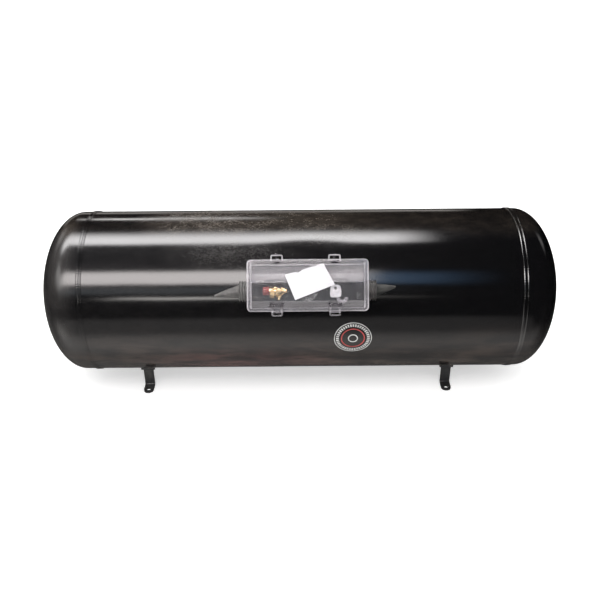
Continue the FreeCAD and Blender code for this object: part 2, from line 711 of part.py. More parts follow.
def make_valve_plate():
    slab = plate_body("ValveSlab", "pad_long", "pad_wide", "pad_wide / 2 - sliver",
                      "shell_radius - pad_sink", "pad_up - shell_radius + pad_sink")
    place(slab, y="- port_low")
    plate = cut("ValvePlate", slab, tank_core("ValvePlateCore"))
    in_box(plate, "valve_plate")


def make_filler_valve():
    block = solid("Prism", "FillerHex", x="- filler_left - filler_long / 2", y="- port_low",
                  z="port_up", turn=TO_RIGHT, Circumradius="filler_hex / 2",
                  Height="filler_long")
    block.Polygon = 6
    stem = solid("Cylinder", "FillerStem", x="- filler_left", y="- port_low", z="pad_up",
                 Radius="filler_stem / 2", Height="port_up - pad_up")
    nozzle = solid("Cylinder", "FillerNozzle", x="- filler_left + filler_long / 2",
                   y="- port_low", z="port_up", turn=TO_RIGHT, Radius="nozzle_wide / 2",
                   Height="nozzle_long")
    in_box(fuse("FillerValve", block, stem, nozzle), "filler_valve")
    cap = solid("Cylinder", "FillerCap", Radius="cap_wide / 2", Height="cap_long")
    in_box(cap, "filler_cap", "- filler_left - filler_long / 2", "- port_low", "port_up", TO_LEFT)


def make_level_gauge():
    flange = solid("Cylinder", "GaugeFlange", y="- port_low", z="pad_up", Radius="gauge_wide / 2",
                   Height="gauge_thick")
    neck = solid("Cylinder", "GaugeNeck", y="- port_low", z="pad_up", Radius="gauge_neck / 2",
                 Height="gauge_tall")
    in_box(fuse("LevelGauge", flange, neck), "level_gauge")


def make_outlet_valve():
    block = solid("Box", "OutletBlock", x="outlet_right - outlet_wide / 2",
                  y="- port_low - outlet_drop - outlet_deep / 2", z="outlet_up",
                  Length="outlet_wide", Width="outlet_deep", Height="outlet_tall")
    hole = solid("Cylinder", "OutletHole", x="outlet_right", y="- outlet_hole_low", z="outlet_up",
                 Radius="outlet_hole / 2", Height="outlet_tall")
    in_box(cut("OutletValve", block, hole), "outlet_valve")
    stem = solid("Cylinder", "OutletStem", Radius="outlet_stem / 2",
                 Height="outlet_up - pad_up")
    in_box(stem, "outlet_stem", "outlet_right", "- port_low", "pad_up")
    elbow = solid("Torus", "VentElbow", Radius1="elbow_ring", Radius2="elbow_tube")
    elbow.Angle3 = 180
    in_box(elbow, "vent_elbow", "outlet_right + elbow_right",
           "- port_low - outlet_drop - outlet_deep / 2", "port_up", Rotation(Z_AXIS, 180))


def make_leaflet():
    body = new_body("Leaflet")
    page = new_sketch(body, "LeafletPage", "XY_Plane")
    rounded_rectangle(page, "leaflet_long", "leaflet_wide", "leaflet_round")
    add_pad(body, "LeafletPad", page, "leaflet_thick")
    in_box(body, "leaflet", "leaflet_right", "leaflet_high", "leaflet_up",
           Rotation(Z_AXIS, amount("leaflet_turn")))


# ---------------------------------------------------------------- assembly

make_shell()
make_head("left", "seam_left", "-", TO_LEFT)
make_head("right", "seam_right", "+", TO_RIGHT)
make_girth_weld("left", "seam_left", "-")
make_girth_weld("right", "seam_right", "+")
make_long_weld()

FACING_FRONT = Rotation(Z_AXIS, 180)
FACING_REAR = Rotation(Z_AXIS, 0)
make_foot("front_left", "-", FACING_FRONT)
make_foot("front_right", "", FACING_FRONT)
make_foot("rear_left", "-", FACING_REAR)
make_foot("rear_right", "", FACING_REAR)

make_box_base()
make_box_lid()
make_latch("left", "- clip_left")
make_latch("right", "clip_right")
make_collar("left", "-", TO_LEFT)
make_collar("right", "+", TO_RIGHT)
make_plug("left", "-", TO_LEFT, "plug_left_rise")
make_plug("right", "+", TO_RIGHT, "plug_right_rise")
make_valve_plate()
make_filler_valve()
make_level_gauge()
make_outlet_valve()
make_leaflet()

doc.recompute()

for thing in doc.Objects:
    if "Invalid" in thing.State or "Error" in thing.State:
        raise ValueError("%s did not build: %s" % (thing.Name, thing.State))
for piece in sub_parts:
    if piece.Shape.isNull() or not piece.Shape.isValid():
        raise ValueError("%s has no valid shape" % piece.Label)

os.makedirs("parts", exist_ok=True)
for piece in sub_parts:
    piece.Shape.exportStep("parts/%s.step" % piece.Label)
    print(piece.Label, len(piece.Shape.Solids), round(piece.Shape.Volume))
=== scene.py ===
import bmesh
import bpy
import numpy as np
from math import cos, pi, radians, sin, tau
from mathutils import Euler, Matrix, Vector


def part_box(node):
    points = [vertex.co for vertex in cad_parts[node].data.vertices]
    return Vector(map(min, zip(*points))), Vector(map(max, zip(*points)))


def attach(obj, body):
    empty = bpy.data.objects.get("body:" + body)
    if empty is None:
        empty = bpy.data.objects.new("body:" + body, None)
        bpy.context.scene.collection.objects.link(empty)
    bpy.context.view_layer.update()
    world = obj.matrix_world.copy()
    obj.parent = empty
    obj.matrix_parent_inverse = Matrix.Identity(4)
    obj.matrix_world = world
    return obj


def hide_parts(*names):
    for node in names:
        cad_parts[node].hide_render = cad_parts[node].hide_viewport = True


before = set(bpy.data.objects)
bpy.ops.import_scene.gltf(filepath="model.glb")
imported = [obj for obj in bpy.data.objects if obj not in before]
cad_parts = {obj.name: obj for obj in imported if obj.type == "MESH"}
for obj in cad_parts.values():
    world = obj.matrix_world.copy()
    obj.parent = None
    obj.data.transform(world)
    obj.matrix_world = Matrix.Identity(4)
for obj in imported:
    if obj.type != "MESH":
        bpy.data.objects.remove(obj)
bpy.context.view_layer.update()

MM = 0.001
SAME_PLACE = 0.001 * MM
CRISP_EDGE = radians(35)

# ------------------------------------------------------------------ the tank's own measures
# Angles round the tank are counted from level on the front (-Y), rising over the top.

SHELL_LOW, SHELL_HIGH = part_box("shell")
AXIS_HEIGHT = round((SHELL_LOW[2] + SHELL_HIGH[2]) / 2, 3)
RADIUS = round((SHELL_HIGH[2] - SHELL_LOW[2]) / 2, 3)
PLATE = 3 * MM
SEAM_LEFT = SHELL_LOW[0]
SEAM_RIGHT = SHELL_HIGH[0]
POLE_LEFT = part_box("head_left")[0][0]
POLE_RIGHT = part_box("head_right")[1][0]
TANK_MIDDLE = (POLE_LEFT + POLE_RIGHT) / 2
HEAD_DEPTH = 80 * MM
BEAD_WIDTH = 12 * MM
BEAD_RISE = 2 * MM

BASE_LOW, BASE_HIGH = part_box("box_base")
BOX_MIDDLE = (BASE_LOW[0] + BASE_HIGH[0]) / 2
BOX_ANGLE = radians(30.3)


def in_box(points):
    """Puts points given in the valve box's frame (along, up round the shell, outwards) into
    place, by a turn of BOX_ANGLE about the tank's axis."""
    along, up, out = np.moveaxis(np.asarray(points, float), -1, 0)
    y = up * sin(BOX_ANGLE) - out * cos(BOX_ANGLE)
    z = AXIS_HEIGHT + up * cos(BOX_ANGLE) + out * sin(BOX_ANGLE)
    return np.stack([BOX_MIDDLE + along, y, z], axis=-1)


def round_tank(x, angle, radius):
    """Places of points on the tank: x along it, an angle round it and a distance from its axis."""
    x, angle, radius = np.broadcast_arrays(x, angle, radius)
    return np.stack([x, -radius * np.cos(angle), AXIS_HEIGHT + radius * np.sin(angle)], axis=-1)


# ------------------------------------------------------------------ mesh tools

def grid_faces(rows, columns, close_rows, close_columns):
    """Four-sided faces between neighbouring points of a grid, joined round where asked."""
    r = np.arange(rows if close_rows else rows - 1)
    c = np.arange(columns if close_columns else columns - 1)
    r, c = np.meshgrid(r, c, indexing="ij")
    r_next = (r + 1) % rows
    c_next = (c + 1) % columns
    corners = [r * columns + c, r * columns + c_next, r_next * columns + c_next,
               r_next * columns + c]
    return np.stack(corners, axis=-1).reshape(-1, 4)


def joined(*surfaces):
    """Several (points, faces) surfaces as one."""
    points = []
    faces = []
    start = 0
    for spots, quads in surfaces:
        points.append(spots.reshape(-1, 3))
        faces.append(quads + start)
        start += len(points[-1])
    return np.concatenate(points), np.concatenate(faces)


def surface(points, close_rows=False, close_columns=False):
    """A grid of points with its faces."""
    rows, columns = points.shape[:2]
    return points, grid_faces(rows, columns, close_rows, close_columns)


def make_piece(name, shape, material, body, nodes=(), milk_and_sheen=None):
    """Makes a mesh object from a surface, welds its doubled points and turns its faces outwards.
    The milk gives how cloudy clear plastic is at each point, and on the lid it also carries painted
    highlights and painted reflections."""
    points, faces = shape
    mesh = bpy.data.meshes.new(name)
    mesh.from_pydata(points.reshape(-1, 3).tolist(), [], faces.tolist())
    if milk_and_sheen is not None:
        cloudiness_and_sheen = mesh.attributes.new("milk_and_sheen", "FLOAT", "POINT")
        cloudiness_and_sheen.data.foreach_set("value", np.broadcast_to(milk_and_sheen, len(mesh.vertices)).astype(float))
    piece = bpy.data.objects.new(name, mesh)
    bpy.context.scene.collection.objects.link(piece)
    tidy_mesh(mesh)
    mesh.shade_smooth()
    mesh.materials.append(material)
    mesh.update()
    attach(piece, body)
    if nodes:
        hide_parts(*nodes)


def tidy_mesh(mesh):
    """Welds doubled points, drops faces without area and turns the rest outwards."""
    work = bmesh.new()
    work.from_mesh(mesh)
    bmesh.ops.remove_doubles(work, verts=work.verts, dist=SAME_PLACE)
    bmesh.ops.dissolve_degenerate(work, edges=work.edges, dist=SAME_PLACE)
    bmesh.ops.recalc_face_normals(work, faces=work.faces)
    work.to_mesh(mesh)
    work.free()


# ------------------------------------------------------------------ material tools

def new_material(name):
    """An empty material with one shader, its tree and that shader."""
    material = bpy.data.materials.new(name)
    material.use_nodes = True
    tree = material.node_tree
    tree.nodes.clear()
    output = tree.nodes.new("ShaderNodeOutputMaterial")
    shader = tree.nodes.new("ShaderNodeBsdfPrincipled")
    tree.links.new(shader.outputs[0], output.inputs[0])
    return material, tree, shader


def feed(tree, socket, value):
    """Gives a socket a number, a colour or another socket's output."""
    if hasattr(value, "is_output"):
        tree.links.new(value, socket)
    else:
        socket.default_value = value


def spots_of(tree, stretch=(1, 1, 1), shift=(0, 0, 0)):
    """Object coordinates, stretched and shifted."""
    where = tree.nodes.new("ShaderNodeTexCoord")
    mapping = tree.nodes.new("ShaderNodeMapping")
    mapping.inputs["Scale"].default_value = stretch
    mapping.inputs["Location"].default_value = shift
    tree.links.new(where.outputs["Object"], mapping.inputs["Vector"])
    return mapping.outputs[0]


def noise(tree, scale, detail, rough, warp=0.0, where=None):
    """A cloudy pattern from 0 to 1 on object coordinates, or on stretched ones."""
    texture = tree.nodes.new("ShaderNodeTexNoise")
    feed(tree, texture.inputs["Vector"], where if where is not None else spots_of(tree))
    texture.inputs["Scale"].default_value = scale
    texture.inputs["Detail"].default_value = detail
    texture.inputs["Roughness"].default_value = rough
    texture.inputs["Distortion"].default_value = warp
    return texture.outputs["Fac"]


def maths(tree, operation, first, second):
    """One sum of two values."""
    step = tree.nodes.new("ShaderNodeMath")
    step.operation = operation
    feed(tree, step.inputs[0], first)
    feed(tree, step.inputs[1], second)
    return step.outputs[0]


def product(tree, *factors):
    """Several values multiplied together, from first to last."""
    total = factors[0]
    for factor in factors[1:]:
        total = maths(tree, "MULTIPLY", total, factor)
    return total


def between(tree, value, low, high, to_low=0.0, to_high=1.0, smooth=True):
    """Maps a value from one range to another, held at both ends."""
    ramp = tree.nodes.new("ShaderNodeMapRange")
    ramp.interpolation_type = "SMOOTHSTEP" if smooth else "LINEAR"
    feed(tree, ramp.inputs["Value"], value)
    ramp.inputs["From Min"].default_value = low
    ramp.inputs["From Max"].default_value = high
    ramp.inputs["To Min"].default_value = to_low
    ramp.inputs["To Max"].default_value = to_high
    return ramp.outputs["Result"]


def blend_colours(tree, share, first, second):
    """The first colour where the share is 0, the second where it is 1."""
    mixer = tree.nodes.new("ShaderNodeMix")
    mixer.data_type = "RGBA"
    feed(tree, mixer.inputs["Factor"], share)
    feed(tree, mixer.inputs["A"], first)
    feed(tree, mixer.inputs["B"], second)
    return mixer.outputs["Result"]


def axis_of(tree, axis):
    """One object coordinate, in metres."""
    parts = tree.nodes.new("ShaderNodeSeparateXYZ")
    tree.links.new(spots_of(tree), parts.inputs[0])
    return parts.outputs[axis]


def bump(tree, shader, height, strength, distance):
    """Gives a shader's face a fine relief from a pattern."""
    relief = tree.nodes.new("ShaderNodeBump")
    relief.inputs["Strength"].default_value = strength
    relief.inputs["Distance"].default_value = distance
    feed(tree, relief.inputs["Height"], height)
    tree.links.new(relief.outputs[0], shader.inputs["Normal"])


def near(tree, centre, reach):
    """1 at a place on the object, falling to 0 over a reach along each axis."""
    stretch = tuple(1 / r for r in reach)
    shift = tuple(-c / r for c, r in zip(centre, reach))
    length = tree.nodes.new("ShaderNodeVectorMath")
    length.operation = "LENGTH"
    tree.links.new(spots_of(tree, stretch, shift), length.inputs[0])
    return between(tree, length.outputs["Value"], 1.0, 0.0)


# ------------------------------------------------------------------ materials

def black_paint(name="black_paint", gloss=1.5):
    """Gloss black paint: brown dust along the top and grey dust beside the box, a hazier left
    head, and a brown film with a rusty smear low on the front. Gloss is its refractive index."""
    material, tree, shader = new_material(name)
    along = axis_of(tree, "X")
    height = axis_of(tree, "Z")
    grain = noise(tree, 34.0, 7.0, 0.76, 0.0, spots_of(tree, (0.85, 1.4, 1.4)))
    fine = noise(tree, 150.0, 5.0, 0.7, 0.0, spots_of(tree, (0.5, 1.2, 1.2)))
    dots = noise(tree, 230.0, 6.0, 0.85, 0.0, spots_of(tree, (0.75, 1.0, 1.0)))
    cloud = noise(tree, 7.0, 4.0, 0.6, 0.0, spots_of(tree, (0.7, 1.3, 1.3)))
    specks = product(tree, between(tree, dots, 0.34, 0.68, 0.30, 1.0),
                     between(tree, grain, 0.38, 0.66, 0.45, 1.0))
    crown = product(tree, between(tree, height, AXIS_HEIGHT + 0.137, AXIS_HEIGHT + 0.158),
                    between(tree, along, 0.25, -0.05, 0.3, 0.85),
                    between(tree, along, -0.32, -0.22, 0.15, 1.0),
                    between(tree, cloud, 0.38, 0.56, 0.55, 1.0))
    beside = near(tree, (-0.12, -0.095, 0.315), (0.20, 0.055, 0.045))
    over = near(tree, (0.05, -0.06, 0.335), (0.26, 0.06, 0.03))
    patches = maths(tree, "MAXIMUM", product(tree, beside, 0.60), product(tree, over, 0.45))
    dust = product(tree, maths(tree, "MAXIMUM", crown, patches), specks)
    left_end = product(tree, between(tree, along, -0.395, -0.45),
                       between(tree, height, AXIS_HEIGHT - 0.11, AXIS_HEIGHT + 0.01, 0.12, 1.0))
    haze = product(tree, left_end, between(tree, cloud, 0.35, 0.65, 0.16, 0.42))
    dust = maths(tree, "MAXIMUM", dust, haze)
    all_over = product(tree, between(tree, along, 0.42, -0.30, 0.02, 0.10), specks)
    dust = maths(tree, "MAXIMUM", dust, all_over)
    brown = between(tree, height, AXIS_HEIGHT + 0.135, AXIS_HEIGHT + 0.155)
    dust_colour = blend_colours(tree, brown, (0.122, 0.113, 0.108, 1), (0.138, 0.110, 0.084, 1))
    colour = blend_colours(tree, product(tree, dust, 0.55), (0.0022, 0.0022, 0.0026, 1), dust_colour)
    low = between(tree, height, AXIS_HEIGHT + 0.02, AXIS_HEIGHT - 0.10)
    streaks = noise(tree, 26.0, 6.0, 0.70, 0.3, spots_of(tree, (0.40, 1.5, 1.5)))
    film = product(tree, between(tree, cloud, 0.35, 0.68, 0.25, 1.0), low,
                   between(tree, streaks, 0.38, 0.64, 0.2, 2.4))
    colour = blend_colours(tree, product(tree, film, 0.15), colour, (0.105, 0.076, 0.060, 1))
    smear = product(tree, near(tree, (-0.11, -0.128, 0.096), (0.27, 0.075, 0.075)),
                    between(tree, streaks, 0.40, 0.60, 0.15, 1.0))
    colour = blend_colours(tree, product(tree, smear, 0.45), colour, (0.115, 0.048, 0.044, 1))
    tree.links.new(colour, shader.inputs["Base Color"])
    rough = between(tree, cloud, 0.3, 0.7, 0.095, 0.125, smooth=False)
    rough = maths(tree, "ADD", rough, product(tree, dust, 0.30))
    rough = maths(tree, "ADD", rough, between(tree, fine, 0.35, 0.7, 0.0, 0.02, smooth=False))
    tree.links.new(rough, shader.inputs["Roughness"])
    shader.inputs["IOR"].default_value = gloss
    peel = maths(tree, "ADD", noise(tree, 230.0, 2.0, 0.5), product(tree, fine, 0.5))
    bump(tree, shader, peel, 0.05, 0.0005)
    return material


def foot_paint():
    """Satin black paint on bent flat bar, rubbed a little brown along its faces."""
    material, tree, shader = new_material("foot_paint")
    rub = noise(tree, 60.0, 5.0, 0.65, 0.0, spots_of(tree, (2.0, 1.0, 0.6)))
    wear = between(tree, rub, 0.48, 0.70)
    colour = blend_colours(tree, product(tree, wear, 0.4), (0.020, 0.020, 0.021, 1),
                           (0.080, 0.072, 0.066, 1))
    tree.links.new(colour, shader.inputs["Base Color"])
    tree.links.new(between(tree, wear, 0.0, 1.0, 0.30, 0.5), shader.inputs["Roughness"])
    bump(tree, shader, noise(tree, 300.0, 3.0, 0.6), 0.12, 0.0006)
    return material


def clear_plastic(name, haze, gloss):
    """Clear moulded plastic: each outer face lets most light straight through, less where it is
    seen edgeways, scatters a little as milky haze and mirrors the rest. The mesh's milk adds to
    the haze, and milk below nought takes haze and gloss away. On the lid that milk also carries
    painted highlights and painted reflections."""
    material, tree, shader = new_material(name)
    output = next(node for node in tree.nodes if node.type == "OUTPUT_MATERIAL")
    tree.links.clear()
    cloud = noise(tree, 30.0, 4.0, 0.6)
    scratch = noise(tree, 160.0, 4.0, 0.7, 0.0, spots_of(tree, (0.7, 1.6, 1.6)))
    shader.inputs["Base Color"].default_value = (0.80, 0.765, 0.80, 1)
    tree.links.new(between(tree, cloud, 0.3, 0.7, 0.35, 0.55, smooth=False),
                   shader.inputs["Roughness"])
    shader.inputs["Specular IOR Level"].default_value = 0.0
    clear = tree.nodes.new("ShaderNodeBsdfTransparent")
    edgeways = tree.nodes.new("ShaderNodeLayerWeight")
    edgeways.inputs["Blend"].default_value = 0.5
    dimmed = between(tree, edgeways.outputs["Facing"], 0.30, 0.95)
    tree.links.new(blend_colours(tree, dimmed, (0.965, 0.96, 0.965, 1), (0.34, 0.33, 0.36, 1)),
                   clear.inputs[0])
    side = tree.nodes.new("ShaderNodeNewGeometry")
    front = maths(tree, "SUBTRACT", 1.0, side.outputs["Backfacing"])
    milk_and_sheen = tree.nodes.new("ShaderNodeAttribute")
    milk_and_sheen.attribute_name = "milk_and_sheen"
    body = maths(tree, "MAXIMUM", maths(tree, "ADD", milk_and_sheen.outputs["Fac"], haze), 0.0)
    body = product(tree, body, between(tree, cloud, 0.3, 0.7, 0.8, 1.2, smooth=False))
    body = maths(tree, "ADD", body, between(tree, scratch, 0.60, 0.80, 0.0, 0.06))
    milky = tree.nodes.new("ShaderNodeMixShader")
    tree.links.new(product(tree, body, front), milky.inputs[0])
    tree.links.new(clear.outputs[0], milky.inputs[1])
    tree.links.new(shader.outputs[0], milky.inputs[2])
    mirror = tree.nodes.new("ShaderNodeBsdfAnisotropic")
    mirror.inputs["Color"].default_value = (0.97, 0.96, 1.0, 1)
    tree.links.new(between(tree, cloud, 0.3, 0.7, 0.10, 0.16, smooth=False),
                   mirror.inputs["Roughness"])
    fresnel = tree.nodes.new("ShaderNodeFresnel")
    fresnel.inputs["IOR"].default_value = 1.49
    glossy = tree.nodes.new("ShaderNodeMixShader")
    share = product(tree, fresnel.outputs[0],
                    between(tree, milk_and_sheen.outputs["Fac"], -0.2, -0.05, 0.0, gloss), front)
    tree.links.new(share, glossy.inputs[0])
    tree.links.new(milky.outputs[0], glossy.inputs[1])
    tree.links.new(mirror.outputs[0], glossy.inputs[2])
    tree.links.new(glossy.outputs[0], output.inputs[0])
    return material


def plain_finish(name, colour, second, rough, scale, relief=0.1, metal=0.0):
    """A base finish: two tones clouded into each other, uneven gloss and a fine relief."""
    material, tree, shader = new_material(name)
    cloud = between(tree, noise(tree, scale, 5.0, 0.62), 0.35, 0.68)
    tree.links.new(blend_colours(tree, cloud, colour + (1,), second + (1,)), shader.inputs["Base Color"])
    tree.links.new(between(tree, cloud, 0.0, 1.0, rough[0], rough[1]), shader.inputs["Roughness"])
    shader.inputs["Metallic"].default_value = metal
    bump(tree, shader, noise(tree, 300.0, 3.0, 0.6), relief, 0.0005)
    return material


def shaded_finish(material, shade, *ramps):
    """Paints shade into a finish: darkens its colour towards a shade colour where the ramps of height,
    in metres, give nought.
    """
    tree = material.node_tree
    shader = next(node for node in tree.nodes if node.type == "BSDF_PRINCIPLED")
    height = axis_of(tree, "Z")
    unshaded_share = 1.0
    for start, end in ramps:
        unshaded_share = product(tree, unshaded_share, between(tree, height, start, end))
    plain = shader.inputs["Base Color"].links[0].from_socket
    feed(tree, shader.inputs["Base Color"], blend_colours(tree, unshaded_share, shade + (1,), plain))
    return material


BLACK_PAINT = black_paint()
BEAD_PAINT = black_paint("bead_paint", 1.9)
FOOT_PAINT = foot_paint()
CLEAR_PLASTIC = clear_plastic("lid_plastic", 0.038, 0.82)
TRAY_PLASTIC = clear_plastic("tray_plastic", 0.028, 0.3)
FITTING_PLASTIC = clear_plastic("fitting_plastic", 0.05, 0.5)
LATCH_PLASTIC = clear_plastic("latch_plastic", 0.05, 0.18)
# Shaded copies of the collar and plug finishes for the right side: darker all over and darker still
# towards the bottom, painted shade where less light reaches them.
PAINTED_SHADE_COLLAR = shaded_finish(
    plain_finish("collar_plastic_painted_shade", (0.034, 0.031, 0.030), (0.070, 0.066, 0.062),
                 (0.35, 0.55), 60.0), (0.014, 0.013, 0.012), (0.263, 0.278))
PAINTED_SHADE_RUBBER = shaded_finish(
    plain_finish("plug_rubber_painted_shade", (0.018, 0.018, 0.017), (0.038, 0.037, 0.034),
                 (0.45, 0.7), 70.0, 0.2), (0.003, 0.003, 0.003), (0.2725, 0.2785))
GREY_PLASTIC = plain_finish("collar_plastic", (0.060, 0.058, 0.056), (0.11, 0.107, 0.102),
                            (0.35, 0.55), 60.0)
PLUG_RUBBER = plain_finish("plug_rubber", (0.040, 0.038, 0.037), (0.085, 0.080, 0.076),
                           (0.45, 0.7), 70.0, 0.2)
# The brass has painted shade: it turns deep brown below 0.2605 m and above 0.2848 m in height, along the
# valve's lower and upper edges.
BRASS = shaded_finish(
    plain_finish("machined_brass", (0.98, 0.77, 0.45), (0.32, 0.19, 0.075), (0.10, 0.26), 210.0,
                 0.05, 1.0), (0.050, 0.032, 0.018), (0.2605, 0.2628), (0.2848, 0.2828))
CAP_RED = plain_finish("filler_cap_red", (0.23, 0.016, 0.010), (0.13, 0.010, 0.007),
                       (0.25, 0.42), 90.0)
PALE_METAL = plain_finish("pale_casting", (0.66, 0.65, 0.66), (0.46, 0.45, 0.47),
                          (0.3, 0.5), 110.0)
LEAFLET_PAPER = plain_finish("leaflet_paper", (0.84, 0.84, 0.85), (0.74, 0.74, 0.76),
                             (0.7, 0.85), 45.0, 0.15)
DULL_METAL = plain_finish("dull_metal", (0.30, 0.295, 0.29), (0.035, 0.034, 0.033),
                          (0.22, 0.40), 160.0, 0.2, 1.0)
EMBLEM_WHITE = plain_finish("emblem_white", (0.52, 0.52, 0.51), (0.34, 0.34, 0.33),
                            (0.35, 0.5), 140.0)
EMBLEM_RED = plain_finish("emblem_red", (0.40, 0.035, 0.032), (0.27, 0.026, 0.024),
                          (0.35, 0.5), 140.0)

# ------------------------------------------------------------------ vessel skins

ROUND_STEPS = 230
DRAW_IN_LONG = 62 * MM
DRAW_IN_WIDE = 30 * MM
DRAW_IN_ABOVE = 58 * MM
DRAW_IN_DEEP = 2.3
CALM_NEAR_SEAM = 50 * MM


def skin_push(x, angle):
    """How far the skin leaves a true round, in metres: slow rolling waves of a tenth of a
    millimetre, and a shallow draw-in just over the valve box, a product of two bell curves."""
    waves = 0.09 * np.sin(tau * x / 0.23 + 0.7) * np.cos(3 * angle + 0.5)
    waves = waves + 0.06 * np.sin(tau * x / 0.118 + 2.0) * np.sin(4 * angle + 1.3)
    arc = (angle - BOX_ANGLE) * RADIUS
    across = np.exp(-((x - BOX_MIDDLE) / DRAW_IN_LONG) ** 2)
    round_it = np.exp(-((arc - DRAW_IN_ABOVE) / DRAW_IN_WIDE) ** 2)
    edge = np.minimum(x - SEAM_LEFT, SEAM_RIGHT - x)
    fade = np.clip(edge / CALM_NEAR_SEAM, 0, 1)
    return (waves * fade - DRAW_IN_DEEP * across * round_it) * MM


def shell_skin():
    """The rolled shell: a tube whose outer face is a circle pushed in and out by skin_push,
    closed by its end faces and its bore."""
    x = np.linspace(SEAM_LEFT, SEAM_RIGHT, 220)
    angle = np.linspace(0, tau, ROUND_STEPS, endpoint=False)
    outer = RADIUS + skin_push(x[:, None], angle[None, :])
    x_all = np.concatenate([x, x[[-1, 0]]])
    inner = np.full((2, len(angle)), RADIUS - PLATE)
    radius = np.concatenate([outer, inner])
    points = round_tank(x_all[:, None], angle[None, :], radius)
    return surface(points, close_rows=True, close_columns=True)


def head_skin(seam, pole):
    """A dished head: a short straight skirt and a quarter ellipse turned round the axis,
    with the inner face a plate's thickness inside it."""
    side = 1 if pole > seam else -1
    tangent = pole - side * HEAD_DEPTH
    turn = np.linspace(0, pi / 2, 60)
    skirt = np.linspace(seam, tangent, 6)[:-1]
    x_outer = np.concatenate([skirt, tangent + side * HEAD_DEPTH * np.sin(turn)])
    r_outer = np.concatenate([np.full(5, RADIUS), RADIUS * np.cos(turn)])
    back = turn[::-4]
    x_inner = np.concatenate([tangent + side * (HEAD_DEPTH - PLATE) * np.sin(back), [seam]])
    r_inner = np.concatenate([(RADIUS - PLATE) * np.cos(back), [RADIUS - PLATE]])
    x = np.concatenate([x_outer, x_inner])
    radius = np.concatenate([r_outer, r_inner])
    angle = np.linspace(0, tau, ROUND_STEPS, endpoint=False)
    points = round_tank(x[:, None], angle[None, :], np.maximum(radius, 0)[:, None])
    return surface(points, close_rows=True, close_columns=True)


def girth_bead(seam, shift):
    """A weld bead laid in two passes: a wide and a narrow hump side by side, each one less the
    fourth power of the distance from its middle, over a low shoulder. The outline is carried
    round the tank, and its height ripples in crescents along its way."""
    across = np.sin(np.linspace(-pi / 2, pi / 2, 45))
    angle = np.linspace(0, tau, 4 * ROUND_STEPS, endpoint=False)
    wide_pass = 1 - np.abs((across + 0.42) / 0.58) ** 4
    narrow_pass = 0.9 - np.abs((across - 0.74) / 0.27) ** 4
    shoulder = 0.25 * (1 - across ** 6)
    outline = np.maximum.reduce([wide_pass, narrow_pass, shoulder, 0 * across])
    ripple = 0.035 * np.sin(230 * angle[None, :] + 2.5 * across[:, None] ** 2)
    drift = 0.4 * np.sin(7 * angle + 1) + 0.3 * np.sin(17 * angle)
    top = RADIUS + 0.75 * BEAD_RISE * outline[:, None] * (0.95 + ripple)
    x_top = seam + shift + (across[:, None] * 0.42 + 0.02 * drift[None, :]) * BEAD_WIDTH
    x_low = seam + shift + np.array([0.42, -0.42])[:, None] * BEAD_WIDTH + 0 * angle[None, :]
    low = np.full(x_low.shape, RADIUS - 0.5 * MM)
    points = round_tank(np.concatenate([x_top, x_low]), angle[None, :], np.concatenate([top, low]))
    return surface(points, close_rows=True, close_columns=True)


for name, shape, paint, node in (
        ("shell_skin", shell_skin(), BLACK_PAINT, "shell"),
        ("head_left_skin", head_skin(SEAM_LEFT, POLE_LEFT), BLACK_PAINT, "head_left"),
        ("head_right_skin", head_skin(SEAM_RIGHT, POLE_RIGHT), BLACK_PAINT, "head_right"),
        ("girth_bead_left", girth_bead(SEAM_LEFT, 0.0), BLACK_PAINT, "weld_girth_left"),
        ("girth_bead_right", girth_bead(SEAM_RIGHT, 0.8 * MM), BEAD_PAINT, "weld_girth_right")):
    make_piece(name, shape, paint, "tank", [node])

# ------------------------------------------------------------------ shapes in the box's frame
# The lid, the latches, the collars, the plugs, the valves and the leaflet are worked out in
# millimetres in the valve box's frame, and box_place puts them in place.

ALONG = np.array([1.0, 0.0, 0.0])
UPWARD = np.array([0.0, 1.0, 0.0])
OUTWARD = np.array([0.0, 0.0, 1.0])


def box_place(shape):
    """Puts a surface given in the valve box's frame, in millimetres, into place."""
    points, faces = shape
    return in_box(np.asarray(points).reshape(-1, 3) * MM), faces


def clustered(low, high, count, places):
    """Evenly spaced stations from low to high, with more of them close to given places."""
    tight = np.array([-1.2, -0.744, -0.42, -0.192, 0.0, 0.192, 0.42, 0.744, 1.2])
    stations = np.concatenate([np.linspace(low, high, count)] + [place + tight for place in places])
    stations = np.unique(np.round(stations, 3))
    return stations[(stations >= low) & (stations <= high)]


def soft_least(blend, *heights):
    """The least of several heights, rounded where two of them meet."""
    stack = np.stack(np.broadcast_arrays(*heights))
    least = stack.min(axis=0)
    return least - blend * np.log(np.exp(-(stack - least) / blend).sum(axis=0))


def rounded_path(corners, radius):
    """A path through corners whose bends are parabolas that start a radius before each corner."""
    corners = np.asarray(corners, float)
    share = np.linspace(0, 1, 7)[:, None]
    path = [corners[:1]]
    for before, corner, after in zip(corners, corners[1:], corners[2:]):
        start = corner + (before - corner) * radius / np.linalg.norm(before - corner)
        end = corner + (after - corner) * radius / np.linalg.norm(after - corner)
        path.append((1 - share) ** 2 * start + 2 * share * (1 - share) * corner + share ** 2 * end)
    path.append(corners[-1:])
    return np.concatenate(path)


def bar_section(wide, thick, squareness=5):
    """A rounded bar's outline: a superellipse, wide along the side axis and thick across it."""
    turn = np.linspace(0, tau, 20, endpoint=False)
    power = 2 / squareness
    across = np.sign(np.cos(turn)) * np.abs(np.cos(turn)) ** power * thick / 2
    side = np.sign(np.sin(turn)) * np.abs(np.sin(turn)) ** power * wide / 2
    return np.stack([across, side], axis=-1)


